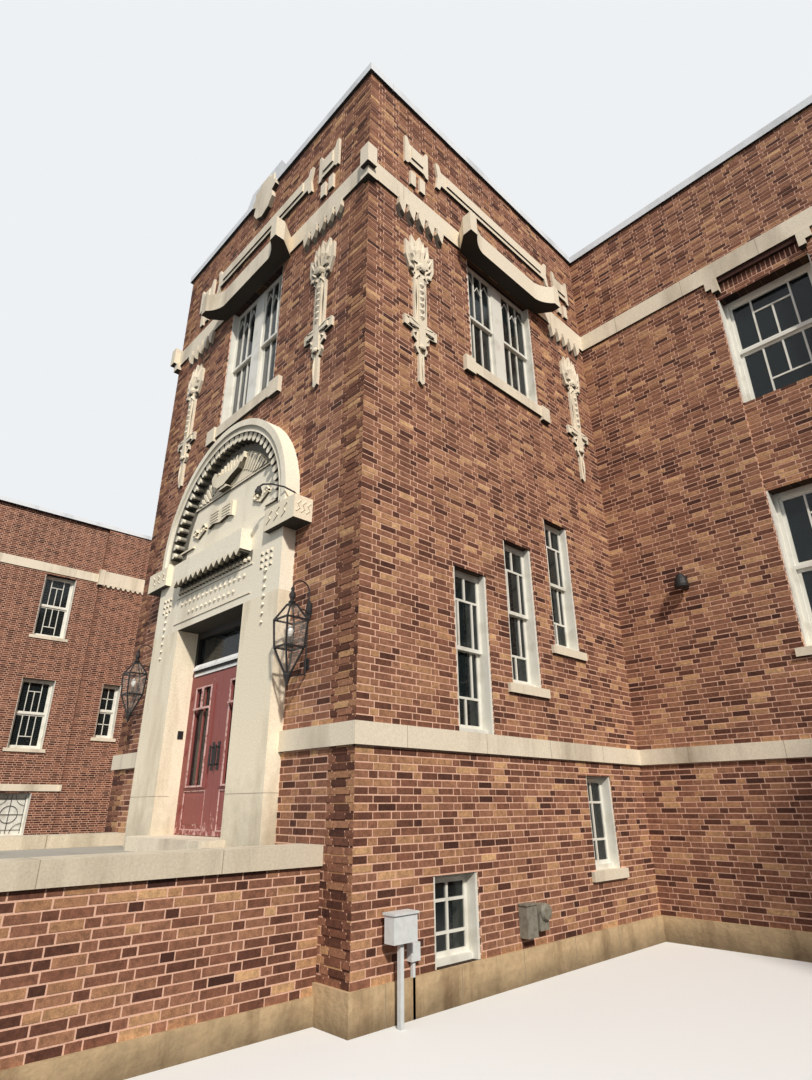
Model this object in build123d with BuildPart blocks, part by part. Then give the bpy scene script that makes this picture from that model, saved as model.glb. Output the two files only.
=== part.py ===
"""Apartment building in a former school, about 1930: a brick block with a projecting
entrance tower on its axis, a raised terrace before the door and a short wing at each end.

Millimetres. X runs along the front, Y into the building and Z up from the ground.
The origin is on the ground under the middle of the tower's front face.
"""
import os
from collections import namedtuple

from build123d import *

# Plan of the building, to the outer faces of the brickwork
tower_width = 5700
tower_depth = 5350
block_half_width = 17190
block_depth = 9000
wing_width = 2700
wing_front = -1850
pavilion_length = 1740
pavilion_projection = 100
wall_thickness = 400

# Levels above the ground
base_height = 300
door_level = 1344
belt_level = 2185
main_floor_level = 2395
upper_floor_level = 6150
band_level = 9620
roof_level = 10900
parapet_level = 11825

# Floors
floor_thickness = 300
basement_floor_thickness = 150

# Stone courses that run round the walls
base_projection = 40
belt_height = 210
belt_projection = 40
band_height = 330
band_projection = 35
coping_height = 150
coping_overhang = 50
coping_joint = 6

# Windows: the box frame stands back from the brick face, with white boards on both jambs
reveal_depth = 220
frame_width = 70
frame_depth = 110
rail_height = 50
glass_thickness = 12
lining_thickness = 20
lining_set_back = 12
sill_height = 110
sill_projection = 45
sill_lug = 105
recess_depth = 60
recess_top = 9530

# Windows of the wings and the back: a column in each bay
column_width = 1060
basement_sill = 840
basement_head = 2130
basement_narrower = 60
storey_sill = 3500
storey_head = 5800
upper_sill = 7290
upper_head = 9550
wing_window_first = 2270
wing_window_pitch = 2700
pavilion_window_centre = 4700
pavilion_window_sill = 3970
pavilion_window_width = 660
pavilion_window_height = 1900
back_window_columns = 14

# Windows of the main walls
main_window_first = 3120
main_window_columns = 4
main_window_width = 1340
main_window_head = 5750
main_upper_sill = 7245
main_upper_head = 9240
main_basement_narrower = 200

# Windows of the tower
front_window_width = 1580
front_window_sill = 7255
front_window_lug = 250
flank_window_centre = 2827
flank_window_width = 1640
flank_window_sill = 7562
flank_window_lug = 200
big_sill_height = 182
ear_drop = 60
ear_rise = 20
ear_projection = 70
stair_window_width = 610
stair_window_height = 1905
stair_window_centres = (1735, 2745, 3755)
stair_window_sills = (2395, 3020, 3640)

# Portal
portal_width = 3290
portal_projection = 180
door_opening_width = 1752
door_opening_head = 3935
portal_lintel_top = 4700
jamb_lining = 120
lining_head = 165
impost_width = 625
impost_height = 290
impost_projection = 260
impost_outer = 1965
arch_radius = 1672
arch_ring_width = 182
arch_face_width = 95
arch_projection = 210
arch_springing = 5130
cavetto_depth = 25
tooth_count = 16
tooth_length = 130
tooth_width = 88
tooth_set_back = 32
tympanum_projection = 40
cornice_width = 1860
cornice_level = 4600
cornice_height = 270
cornice_projection = 330
drop_radius = 46
drop_pitch = 124
drop_set_back = 20
drop_count = 15
threshold_projection = 450
threshold_width = 1960
threshold_height = 154
threshold_nose = 75

# Door
door_plane = 130
door_frame_width = 60
door_frame_depth = 100
door_head_width = 85
transom_level = 3305
transom_height = 170
leaf_thickness = 45
leaf_gap = 6
leaf_glass_width = 400
leaf_glass_height = 1220
leaf_glass_sill = 560
leaf_glass_inside = 255
leaf_bar_width = 30
leaf_panel_inside = 170
leaf_panel_height = 450
leaf_panel_sill = 55
leaf_panel_depth = 12
moulding_height = 25
moulding_depth = 15
hinge_radius = 9
hinge_plate = 6
hinge_reach = 33
hinge_length = 80
hinge_gap = 0.3
hinge_heights = (250, 950, 1650)
handle_inside = 70
handle_height = 895
handle_length = 240
handle_radius = 10
handle_stand = 45
handle_plate_width = 55
handle_plate_length = 330
handle_plate_depth = 4

# Terrace before the door
terrace_width = 4800
terrace_length = 3000
terrace_wall = 330
terrace_cap_height = 170
terrace_cap_overhang = 40
deck_thickness = 150
step_count = 6
step_tread = 300

# Stone hoods over the big tower windows, as seen from below
hood_level = 9590
hood_height = 360
hood_projection = 235
hood_straight = 690
hood_tip = 1172
hood_tip_width = 150
hood_tip_projection = 406
hood_root = 976
hood_sag = 20
hood_peak = 60

# Raised stone of the parapet over the door
raised_half = 480
raised_foot = 640
raised_level = 12235

# Blocks at the tower's front corners, under and over the upper band
corner_block_size = 165
corner_block_projection = 140
corner_block_level = 9680
corner_block_top = 10030
corner_bracket_projection = 80
corner_bracket_level = 9530

# Carved stones on the tower's faces, each set about the middle of the big window
ornament_projection = 45
ornament_relief = 22
bar_half = 1510
bar_bottom = 10640
bar_height = 300
plaque_centre = 1930
plaque_half = 245
plaque_bottom = 10550
plaque_height = 380
horn_reach = 120
stub_places = (1817, 2010)
stub_width = 112
stub_bottom = 10110
stub_height = 280
pendant_centre = 1905
pendant_foot = 6600
claw_centre = 1858
claw_pitch = 195
claw_width = 130
claw_height = 265
claw_count = 5
claw_projection = 62
cartouche_half = 375
cartouche_drop = 575
cartouche_rise = 325
cartouche_toe = 90
cartouche_waist = 260
cartouche_horn = 75
cartouche_notch = 60
cartouche_relief = 25

# Stepped brackets under the upper band at the ends of each bay
bracket_outside = 112
bracket_inside = 80
bracket_height = 270
bracket_step = 90
bracket_projection = 58

# Deeper band on the flank of each corner pavilion
pavilion_band_rise = 130
pavilion_band_drop = 80
pavilion_band_projection = 60
pavilion_block_width = 180
pavilion_block_rise = 150
pavilion_block_drop = 120

# Wrought iron lanterns beside the portal
lantern_x = 2020
lantern_y = -236
lantern_stem_y = -20
lantern_stem_foot = 2920
lantern_stem_top = 3830
lantern_bar = 16
lantern_plate_level = 3647
lantern_plate_half = 45
lantern_ring_level = 3480
lantern_ring_half = 135
lantern_lower_level = 3187
lantern_lower_half = 118
lantern_knob_level = 2883
lantern_knob_radius = 28
lantern_tip_level = 2790
lantern_ring_height = 18
wall_plate_half = 45
wall_plate_height = 120
wall_plate_level = 3640

Opening = namedtuple("Opening", "centre sill width height lug divide stone",
                     defaults=(sill_lug, 1, sill_height))

tower_half = tower_width / 2
inner_half = tower_half - wall_thickness
outer_half = block_half_width + wing_width
back_face = tower_depth + block_depth
door_half = door_opening_width / 2
lining_half = door_half + jamb_lining
deck_level = door_level - threshold_height

os.makedirs("parts", exist_ok=True)


def front_plane(y):
    """The plane of a wall face that looks to the front, with local x along X."""
    return Plane(origin=(0, y, 0), x_dir=(1, 0, 0), z_dir=(0, -1, 0))


def back_plane(y):
    """The plane of a wall face that looks to the back, with local x against X."""
    return Plane(origin=(0, y, 0), x_dir=(-1, 0, 0), z_dir=(0, 1, 0))


def flank_plane(x):
    """The plane of a wall face that looks along +X, with local x along Y."""
    return Plane(origin=(x, 0, 0), x_dir=(0, 1, 0), z_dir=(1, 0, 0))


def rectangle(left, right, bottom, top, mode=Mode.ADD):
    """Draw the rectangle between two uprights and two levels."""
    with Locations(((left + right) / 2, (bottom + top) / 2)):
        Rectangle(right - left, top - bottom, mode=mode)


def rectangles(spans, mode=Mode.ADD):
    """Draw many rectangles, given as (left, right, bottom, top), like sizes together."""
    sizes = {}
    for left, right, bottom, top in spans:
        size = (round(right - left, 3), round(top - bottom, 3))
        sizes.setdefault(size, []).append(((left + right) / 2, (bottom + top) / 2))
    for (width, height), places in sizes.items():
        with Locations(*places):
            Rectangle(width, height, mode=mode)


def block(x, y, z, mode=Mode.ADD):
    """Add the block between pairs of low and high limits."""
    with Locations(((x[0] + x[1]) / 2, (y[0] + y[1]) / 2, (z[0] + z[1]) / 2)):
        Box(x[1] - x[0], y[1] - y[0], z[1] - z[0], mode=mode)


def save(piece, name):
    """Label a finished piece and write it."""
    piece.part.label = name
    export_step(piece.part, f"parts/{name}.step")


def save_mirrored(piece, name):
    """Write the same piece for the other side of the building's axis."""
    with BuildPart() as twin:
        mirror(piece.part, about=Plane.YZ)
    save(twin, name)


def outline(opening):
    """A window's own rectangle in its wall's elevation."""
    half = opening.width / 2
    return (opening.centre - half, opening.centre + half, opening.sill, opening.sill + opening.height)


def bed(opening, lug=0):
    """The rectangle of a window's stone sill."""
    half = opening.width / 2 + lug
    return (opening.centre - half, opening.centre + half, opening.sill - opening.stone, opening.sill)


def ears(opening):
    """The two deeper blocks at the ends of a big window's sill."""
    left, right, bottom, top = bed(opening)
    levels = (bottom - ear_drop, top + ear_rise)
    return [(left - opening.lug, left) + levels, (right, right + opening.lug) + levels]


def jambs(opening):
    """The ends of the two boards that line a window's jambs."""
    left, right, bottom, top = outline(opening)
    return [(left, left + lining_thickness, bottom, top), (right - lining_thickness, right, bottom, top)]


def hole(opening):
    """The rectangle of a window's hole, down to the bed of its sill."""
    return bed(opening)[:3] + outline(opening)[3:]


def lights(opening):
    """The glazed rectangles of a window: an upper and a lower sash in each bay of the frame."""
    left, right, bottom, top = outline(opening)
    width = (right - left - frame_width * (opening.divide + 1)) / opening.divide
    middle = (bottom + top) / 2
    spans = []
    for place in range(opening.divide):
        start = left + frame_width + place * (width + frame_width)
        spans.append((start, start + width, bottom + frame_width, middle - rail_height / 2))
        spans.append((start, start + width, middle + rail_height / 2, top - frame_width))
    return spans


def wall(plane, left, right, openings=(), bottom=0, top=parapet_level):
    """A straight brick wall behind a face plane, with its window holes cut through."""
    with BuildPart() as piece:
        with BuildSketch(plane):
            rectangle(left, right, bottom, top)
            rectangles([hole(opening) for opening in openings], Mode.SUBTRACT)
        extrude(amount=-wall_thickness)
    return piece


def window_frames(plane, openings, set_back):
    """Box frames with their mullions, meeting rails and jamb boards, into the part being built."""
    with BuildSketch(plane.offset(-set_back)) as frames:
        rectangles([outline(opening) for opening in openings])
        rectangles([light for opening in openings for light in lights(opening)], Mode.SUBTRACT)
    extrude(frames.sketch, amount=-frame_depth)
    with BuildSketch(plane.offset(-set_back)) as boards:
        rectangles([jamb for opening in openings for jamb in jambs(opening)])
    extrude(boards.sketch, amount=reveal_depth - lining_set_back)


def window_glass(plane, openings, set_back):
    """One sheet of glass in each light of the frames, into the part being built."""
    with BuildSketch(plane.offset(-set_back - (frame_depth - glass_thickness) / 2)) as panes:
        rectangles([light for opening in openings for light in lights(opening)])
    extrude(panes.sketch, amount=-glass_thickness)


def window_sills(plane, openings, set_back):
    """Stone sills bedded in the holes, with a nosing that is wider than the hole."""
    bedded = [opening for opening in openings if opening.stone]
    with BuildSketch(plane) as beds:
        rectangles([bed(opening) for opening in bedded])
    extrude(beds.sketch, amount=-set_back - frame_depth)
    with BuildSketch(plane) as nosings:
        rectangles([bed(opening, opening.lug) for opening in bedded if opening.lug])
    extrude(nosings.sketch, amount=sill_projection)
    big = [opening for opening in bedded if opening.lug > sill_lug]
    if big:
        with BuildSketch(plane) as ends:
            rectangles([ear for opening in big for ear in ears(opening)])
        extrude(ends.sketch, amount=ear_projection)


# Windows of each wall, by the distance along it
tower_front_windows = [
    Opening(0, front_window_sill, front_window_width, hood_level - front_window_sill, front_window_lug, 2,
            big_sill_height),
]
flank_window = Opening(flank_window_centre, flank_window_sill, flank_window_width,
                       hood_level - flank_window_sill, flank_window_lug, 2, big_sill_height)
stair_windows = [
    Opening(stair_window_centres[0], stair_window_sills[0], stair_window_width, stair_window_height, 0, 1, 0),
    Opening(stair_window_centres[1], stair_window_sills[1], stair_window_width, stair_window_height),
    Opening(stair_window_centres[2], stair_window_sills[2], stair_window_width, stair_window_height),
]
tower_basement_windows = [Opening(1309, base_height, 650, 750, 0, 1, 0), Opening(4155, 912, 610, 1100)]
tower_flank_windows = [flank_window] + stair_windows + tower_basement_windows


def column(centre):
    """The basement, main and upper windows of one bay of the wings and the back."""
    return [
        Opening(centre, basement_sill, column_width - basement_narrower, basement_head - basement_sill),
        Opening(centre, storey_sill, column_width, storey_head - storey_sill),
        Opening(centre, upper_sill, column_width, upper_head - upper_sill),
    ]


main_pitch = (block_half_width - tower_half - 2 * main_window_first) / (main_window_columns - 1)
main_centres = [tower_half + main_window_first + bay * main_pitch for bay in range(main_window_columns)]
main_windows = []
for main_centre in main_centres:
    main_windows += [
        Opening(main_centre, basement_sill, main_window_width - main_basement_narrower,
                basement_head - basement_sill),
        Opening(main_centre, storey_sill, main_window_width, main_window_head - storey_sill),
        Opening(main_centre, main_upper_sill, main_window_width, main_upper_head - main_upper_sill, 0, 1, 0),
    ]
wing_flank_windows = column(wing_window_first) + column(wing_window_first - wing_window_pitch)
pavilion_windows = [
    Opening(pavilion_window_centre, pavilion_window_sill, pavilion_window_width, pavilion_window_height),
]
wing_front_windows = column(block_half_width + wing_width / 2)
back_pitch = (2 * outer_half - 2 * wall_thickness) / back_window_columns
back_windows = []
for bay in range(back_window_columns):
    back_windows += column((bay - (back_window_columns - 1) / 2) * back_pitch)

# Tower walls: piers beside the doorway, one wall over it and one below it
save(wall(front_plane(0), lining_half, inner_half), "tower_front_right")
save(wall(front_plane(0), -inner_half, -lining_half), "tower_front_left")
save(wall(front_plane(0), -lining_half, lining_half, tower_front_windows,
          door_opening_head + lining_head), "tower_front_over_door")
save(wall(front_plane(0), -lining_half, lining_half, top=deck_level), "tower_front_under_door")
tower_flank = wall(flank_plane(tower_half), 0, tower_depth, tower_flank_windows)
save(tower_flank, "tower_flank_right")
save_mirrored(tower_flank, "tower_flank_left")

# Main walls: each bay stands in a shallow recess from the main sill to the upper band
with BuildPart() as main_wall:
    with BuildSketch(front_plane(tower_depth)):
        rectangle(inner_half, block_half_width + wall_thickness, 0, parapet_level)
        rectangles([hole(opening) for opening in main_windows], Mode.SUBTRACT)
    extrude(amount=-wall_thickness)
    with BuildSketch(front_plane(tower_depth)):
        rectangles([(centre - main_window_width / 2, centre + main_window_width / 2,
                     storey_sill, recess_top) for centre in main_centres])
    extrude(amount=-recess_depth, mode=Mode.SUBTRACT)
save(main_wall, "main_wall_right")
save_mirrored(main_wall, "main_wall_left")

# Wings: the flank steps out where it meets the main block
with BuildPart() as wing_flank:
    with BuildSketch(flank_plane(-block_half_width)):
        rectangle(wing_front, tower_depth, 0, parapet_level)
        rectangles([hole(opening) for opening in wing_flank_windows + pavilion_windows], Mode.SUBTRACT)
    extrude(amount=-wall_thickness)
    with BuildSketch(flank_plane(-block_half_width)):
        rectangle(tower_depth - pavilion_length, tower_depth, 0, parapet_level)
        rectangles([hole(opening) for opening in pavilion_windows], Mode.SUBTRACT)
    extrude(amount=pavilion_projection)
save(wing_flank, "wing_flank_left")
save_mirrored(wing_flank, "wing_flank_right")

wing_front_wall = wall(front_plane(wing_front), block_half_width + wall_thickness,
                       outer_half - wall_thickness, wing_front_windows)
save(wing_front_wall, "wing_front_right")
save_mirrored(wing_front_wall, "wing_front_left")

party_wall = wall(flank_plane(outer_half), wing_front, back_face)
save(party_wall, "party_wall_right")
save_mirrored(party_wall, "party_wall_left")

save(wall(back_plane(back_face), -outer_half + wall_thickness, outer_half - wall_thickness,
          back_windows), "back_wall")


def storey_floor(top, thickness, with_tower=True):
    """One concrete floor over the block, the wings and the tower, between the walls."""
    levels = (top - thickness, top)
    inside = outer_half - wall_thickness
    with BuildPart() as piece:
        block((-inside, inside), (tower_depth + wall_thickness, back_face - wall_thickness), levels)
        for side in (-1, 1):
            edges = sorted((side * (block_half_width + wall_thickness), side * inside))
            block(edges, (wing_front + wall_thickness, tower_depth + wall_thickness), levels)
        if with_tower:
            block((-inner_half, inner_half), (wall_thickness, tower_depth + wall_thickness), levels)
    return piece


save(storey_floor(basement_floor_thickness, basement_floor_thickness), "basement_floor")
save(storey_floor(main_floor_level, floor_thickness, with_tower=False), "main_floor")
save(storey_floor(upper_floor_level, floor_thickness), "upper_floor")
save(storey_floor(roof_level, floor_thickness), "roof_deck")

with BuildPart() as entrance_floor:
    block((-inner_half, inner_half), (wall_thickness, tower_depth + wall_thickness),
          (door_level - floor_thickness, door_level))
save(entrance_floor, "entrance_floor")


# The plan of the brick walls' outer faces
with BuildSketch() as brick_plan:
    rectangle(-outer_half, outer_half, tower_depth, back_face)
    rectangle(-tower_half, tower_half, 0, tower_depth)
    for side in (-1, 1):
        wing = sorted((side * block_half_width, side * outer_half))
        rectangle(wing[0], wing[1], wing_front, tower_depth)
        pavilion = sorted((side * (block_half_width - pavilion_projection), side * block_half_width))
        rectangle(pavilion[0], pavilion[1], tower_depth - pavilion_length, tower_depth)


def course(level, height, projection):
    """A stone course on the face of the brickwork, all round but for the party walls."""
    with BuildSketch(Plane.XY.offset(level)) as ring:
        offset(brick_plan.sketch, amount=projection, kind=Kind.INTERSECTION)
        add(brick_plan.sketch, mode=Mode.SUBTRACT)
        rectangle(-outer_half, outer_half, 2 * wing_front, 2 * back_face, Mode.INTERSECT)
    extrude(ring.sketch, amount=height)


def clear_portal(top):
    """Stop the course where the portal stands against the tower."""
    block((-portal_width / 2, portal_width / 2), (-2 * base_projection, 0), (0, top), Mode.SUBTRACT)


# Stone hoods over the big tower windows: the front sweeps out to a horn at each end
with BuildPart() as front_hood:
    with BuildSketch(Plane.XY.offset(hood_level)):
        with BuildLine():
            tip_inside = hood_tip - hood_tip_width
            Polyline((0, 0), (hood_root, 0), (hood_tip, hood_tip_width - hood_tip_projection),
                     (hood_tip, -hood_tip_projection), (tip_inside, -hood_tip_projection))
            ThreePointArc((tip_inside, -hood_tip_projection),
                          ((tip_inside + hood_straight) / 2 - hood_sag, -hood_projection - 2 * hood_sag),
                          (hood_straight, -hood_projection))
            Polyline((hood_straight, -hood_projection), (0, -hood_projection), (0, 0))
        make_face()
        mirror(about=Plane.YZ)
    extrude(amount=hood_height)
    with BuildSketch(front_plane(-hood_tip_projection)):
        with BuildLine():
            peak_level = hood_level + hood_height
            Polyline((tip_inside, peak_level), (hood_tip, peak_level),
                     (hood_tip - hood_tip_width / 4, peak_level + hood_peak),
                     (hood_tip - hood_tip_width / 2, peak_level + hood_peak / 4),
                     (tip_inside + hood_tip_width / 4, peak_level + hood_peak), close=True)
        make_face()
        mirror(about=Plane.YZ)
    extrude(amount=-hood_tip_width)

with BuildPart() as window_hoods:
    with Locations(Location((tower_half, flank_window.centre, 0), (0, 0, 90))):
        add(front_hood.part)
    mirror(about=Plane.YZ)
    add(front_hood.part)
save(window_hoods, "window_hoods")

# Stone base, lower belt and upper band
with BuildPart() as stone_base:
    course(0, base_height, base_projection)
    block((-terrace_width / 2, terrace_width / 2), (-2 * base_projection, 0), (0, base_height), Mode.SUBTRACT)
save(stone_base, "stone_base")

with BuildPart() as lower_belt:
    course(belt_level, belt_height, belt_projection)
    clear_portal(belt_level + belt_height)
    for side in (-1, 1):
        step = sorted((side * (block_half_width - 3 * pavilion_projection), side * block_half_width))
        block(step, (tower_depth - pavilion_length, tower_depth - belt_projection),
              (belt_level, belt_level + belt_height), Mode.SUBTRACT)
save(lower_belt, "lower_belt")

with BuildPart() as upper_band:
    course(band_level, band_height, band_projection)
    add(window_hoods.part, mode=Mode.SUBTRACT)
save(upper_band, "upper_band")

# Coping: one run of stones on each wall, with open joints at the corners
coping_back = wall_thickness
coping_levels = (parapet_level, parapet_level + coping_height)
with BuildPart() as coping:
    block((-tower_half - coping_overhang, tower_half + coping_overhang),
          (-coping_overhang, coping_back), coping_levels)
    block((-outer_half - coping_overhang, outer_half + coping_overhang),
          (back_face - coping_back, back_face + coping_overhang), coping_levels)
    for side in (-1, 1):
        block(sorted((side * inner_half, side * (tower_half + coping_overhang))),
              (coping_back + coping_joint, tower_depth - coping_overhang - coping_joint), coping_levels)
        block(sorted((side * inner_half, side * (block_half_width + wall_thickness))),
              (tower_depth - coping_overhang, tower_depth + coping_back), coping_levels)
        block(sorted((side * (block_half_width - pavilion_projection - coping_overhang),
                      side * (block_half_width + coping_back))),
              (wing_front + coping_back + coping_joint, tower_depth - coping_overhang - coping_joint),
              coping_levels)
        block(sorted((side * (block_half_width - coping_overhang), side * (outer_half + coping_overhang))),
              (wing_front - coping_overhang, wing_front + coping_back), coping_levels)
        block(sorted((side * (outer_half - wall_thickness), side * (outer_half + coping_overhang))),
              (wing_front + coping_back + coping_joint, back_face - coping_back - coping_joint),
              coping_levels)
    with BuildSketch(front_plane(-coping_overhang)):
        with BuildLine():
            Polyline((-raised_foot, coping_levels[1]), (raised_foot, coping_levels[1]),
                     (raised_half, raised_level), (-raised_half, raised_level), close=True)
        make_face()
    extrude(amount=-coping_overhang - coping_back)
save(coping, "coping")


def on_tower_faces(stones):
    """Repeat the front's stones about the flank's big window, on both flanks of the tower."""
    with Locations(Location((tower_half, flank_window.centre, 0), (0, 0, 90))):
        add(stones.part)
    mirror(about=Plane.YZ)
    add(stones.part)


# Carved stones of the parapet: a long bar with horned ends, plaques, stubs and a cartouche
with BuildPart() as front_parapet_stones:
    with BuildSketch(front_plane(0)):
        bar_top = bar_bottom + bar_height
        with BuildLine():
            Polyline((0, bar_bottom), (bar_half - horn_reach, bar_bottom), (bar_half - 80, bar_bottom - horn_reach),
                     (bar_half, bar_bottom - horn_reach), (bar_half - 45, (bar_bottom + bar_top) / 2),
                     (bar_half, bar_top + horn_reach), (bar_half - 80, bar_top + horn_reach),
                     (bar_half - horn_reach, bar_top), (0, bar_top), close=True)
        make_face()
        plaque_top = plaque_bottom + plaque_height
        for side in (-1, 1):
            with BuildLine():
                points = [(-plaque_half, plaque_bottom - 50), (-plaque_half + 50, plaque_bottom - 50),
                          (-plaque_half + 95, plaque_bottom), (plaque_half - 95, plaque_bottom),
                          (plaque_half - 50, plaque_bottom - 50), (plaque_half, plaque_bottom - 50),
                          (plaque_half, plaque_top + horn_reach), (plaque_half - 50, plaque_top + horn_reach),
                          (plaque_half - 95, plaque_top), (95 - plaque_half, plaque_top),
                          (50 - plaque_half, plaque_top + horn_reach), (-plaque_half, plaque_top + horn_reach)]
                Polyline(*[(plaque_centre + x, z) for x, z in points], close=True)
            make_face()
        rectangles([(place - stub_width / 2, place + stub_width / 2, stub_bottom, stub_bottom + stub_height)
                    for place in stub_places])
    extrude(amount=ornament_projection)
    with BuildSketch(front_plane(-ornament_projection)):
        rectangle(plaque_centre - plaque_half / 2, plaque_centre + plaque_half / 2,
                  plaque_bottom + plaque_height / 4, plaque_top - plaque_height / 8)
        rectangle(0, bar_half - 2 * horn_reach, bar_bottom + bar_height / 4, bar_top - bar_height / 8)
    extrude(amount=ornament_relief)
    mirror(about=Plane.YZ)

# Cartouche in the middle of the parapet: a shield with horns that laps over the coping
cartouche_face = coping_overhang + cartouche_relief
cartouche_bottom = parapet_level - cartouche_drop
cartouche_top = parapet_level + cartouche_rise
with BuildPart() as parapet_ornaments:
    on_tower_faces(front_parapet_stones)
    for back, depth, top in ((0, coping_overhang, parapet_level), (coping_overhang, cartouche_relief, cartouche_top)):
        with BuildSketch(front_plane(-back)) as shield:
            with BuildLine():
                half = cartouche_half
                horn = cartouche_horn
                Polyline((0, cartouche_bottom), (half / 2, cartouche_bottom + cartouche_toe),
                         (0.8 * half, cartouche_bottom + cartouche_waist), (0.7 * half, parapet_level - 2 * horn),
                         (half, parapet_level - horn), (half, parapet_level + horn / 3),
                         (0.8 * half, parapet_level + horn), (0.8 * half, cartouche_top - 1.5 * cartouche_notch),
                         (0.4 * half, cartouche_top - cartouche_notch),
                         (0.4 * half, cartouche_top), (0, cartouche_top), close=True)
            make_face()
            mirror(about=Plane.YZ)
            rectangle(-half, half, cartouche_bottom, top, Mode.INTERSECT)
        extrude(shield.sketch, amount=depth)
save(parapet_ornaments, "parapet_ornaments")

# Pendants on the tower's faces: a winged head, a shaft, a cross piece and a pin
with BuildPart() as front_pendants:
    with BuildSketch(front_plane(0)) as pendant:
        with BuildLine():
            half_outline = [(0, 0), (45, 40), (45, 470), (70, 480), (115, 560), (80, 650), (150, 700),
                            (150, 810), (305, 830), (305, 980), (115, 1000), (115, 1750), (190, 1830),
                            (275, 2050), (275, 2330), (190, 2270), (165, 2480), (80, 2400), (0, 2550)]
            other_half = [(-x, z) for x, z in reversed(half_outline[1:-1])]
            Polyline(*[(pendant_centre + x, pendant_foot + z) for x, z in half_outline + other_half], close=True)
        make_face()
    extrude(pendant.sketch, amount=ornament_projection)
    with BuildSketch(front_plane(-ornament_projection)) as relief:
        centre = pendant_centre
        rectangles([(centre - 230, centre + 230, pendant_foot + 860, pendant_foot + 940),
                    (centre - 60, centre + 60, pendant_foot + 560, pendant_foot + 2300),
                    (centre - 150, centre + 150, pendant_foot + 2000, pendant_foot + 2150)])
    extrude(relief.sketch, amount=ornament_relief)
    mirror(about=Plane.YZ)

with BuildPart() as wall_pendants:
    on_tower_faces(front_pendants)
save(wall_pendants, "wall_pendants")

# Claws that hang from the upper band over the pendants
with BuildPart() as front_claws:
    claw_places = [claw_centre + (place - (claw_count - 1) / 2) * claw_pitch for place in range(claw_count)]
    with BuildSketch(front_plane(0)):
        for place in claw_places:
            with BuildLine():
                half = claw_width / 2
                claw = [(-half, 0), (half, 0), (half, -0.45 * claw_height), (0.2 * half, -0.8 * claw_height),
                        (-half / 2, -claw_height), (-0.75 * half, -0.6 * claw_height), (-half, -0.3 * claw_height)]
                Polyline(*[(place + x, band_level + z) for x, z in claw], close=True)
            make_face()
    extrude(amount=claw_projection)
    mirror(about=Plane.YZ)

# Blocks at the band: the tower's corner, the ends of each bay and the pavilion's flank
with BuildPart() as right_blocks:
    corner_steps = ((corner_block_projection, corner_block_level, corner_block_top),
                    (corner_bracket_projection, corner_bracket_level, corner_block_level))
    for projection, bottom, top in corner_steps:
        outer = tower_half + projection
        block((outer - corner_block_size, outer), (-projection, corner_block_size - projection), (bottom, top))
    block((inner_half, tower_half), (0, tower_depth), (base_height, parapet_level), Mode.SUBTRACT)
    bracket_front = tower_depth - bracket_projection
    for centre in main_centres:
        for side in (-1, 1):
            jamb = centre + side * main_window_width / 2
            inside = sorted((jamb, jamb - side * bracket_inside))
            bracket_steps = ((bracket_outside, band_level - bracket_height + bracket_step),
                             (bracket_outside - bracket_step, band_level - bracket_height))
            for outside, level in bracket_steps:
                block(sorted((jamb + side * outside, jamb)), (bracket_front, tower_depth), (level, band_level))
            block(inside, (bracket_front, tower_depth), (level, band_level))
            block(inside, (tower_depth, tower_depth + recess_depth), (level, recess_top))
    pavilion_face = block_half_width - pavilion_projection
    pavilion_edge = tower_depth - pavilion_length
    block((pavilion_face - pavilion_band_projection, pavilion_face), (pavilion_edge, tower_depth),
          (band_level - pavilion_band_drop, band_level + band_height + pavilion_band_rise))
    block((pavilion_face - 2 * pavilion_band_projection, block_half_width),
          (pavilion_edge - pavilion_block_width / 2, pavilion_edge + pavilion_block_width / 2),
          (band_level - pavilion_block_drop, band_level + band_height + pavilion_block_rise))
    block((pavilion_face, block_half_width), (pavilion_edge, tower_depth), (base_height, parapet_level),
          Mode.SUBTRACT)
    add(upper_band.part, mode=Mode.SUBTRACT)

with BuildPart() as band_dentils:
    on_tower_faces(front_claws)
    add(right_blocks.part)
    mirror(right_blocks.part, about=Plane.YZ)
save(band_dentils, "band_dentils")

# Windows, grouped by the walls that hold them
main_recess = reveal_depth + recess_depth / 2
window_groups = {
    "tower_window": [
        (front_plane(0), tower_front_windows, reveal_depth),
        (flank_plane(tower_half), tower_flank_windows, reveal_depth),
    ],
    "main_window": [(front_plane(tower_depth), main_windows, main_recess)],
    "wing_window": [
        (flank_plane(-block_half_width), wing_flank_windows, reveal_depth),
        (flank_plane(-block_half_width + pavilion_projection), pavilion_windows, reveal_depth),
        (front_plane(wing_front), wing_front_windows, reveal_depth),
    ],
    "back_window": [(back_plane(back_face), back_windows, reveal_depth)],
}
window_makers = {"frames": window_frames, "glass": window_glass, "sills": window_sills}
for group, faces in window_groups.items():
    for kind, maker in window_makers.items():
        with BuildPart() as piece:
            for plane, openings, set_back in faces:
                maker(plane, openings, set_back)
            if group != "back_window":
                mirror(about=Plane.YZ)
        save(piece, f"{group}_{kind}")

# Portal: stone piers that line the doorway, a lintel, imposts, the arch and its tympanum
with BuildPart() as portal_pier:
    with BuildSketch(Plane.XY.offset(deck_level)):
        rectangle(door_half, portal_width / 2, -portal_projection, 0)
        rectangle(door_half, lining_half, 0, wall_thickness)
    extrude(amount=door_opening_head - deck_level)
save(portal_pier, "portal_pier_right")
save_mirrored(portal_pier, "portal_pier_left")

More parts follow.
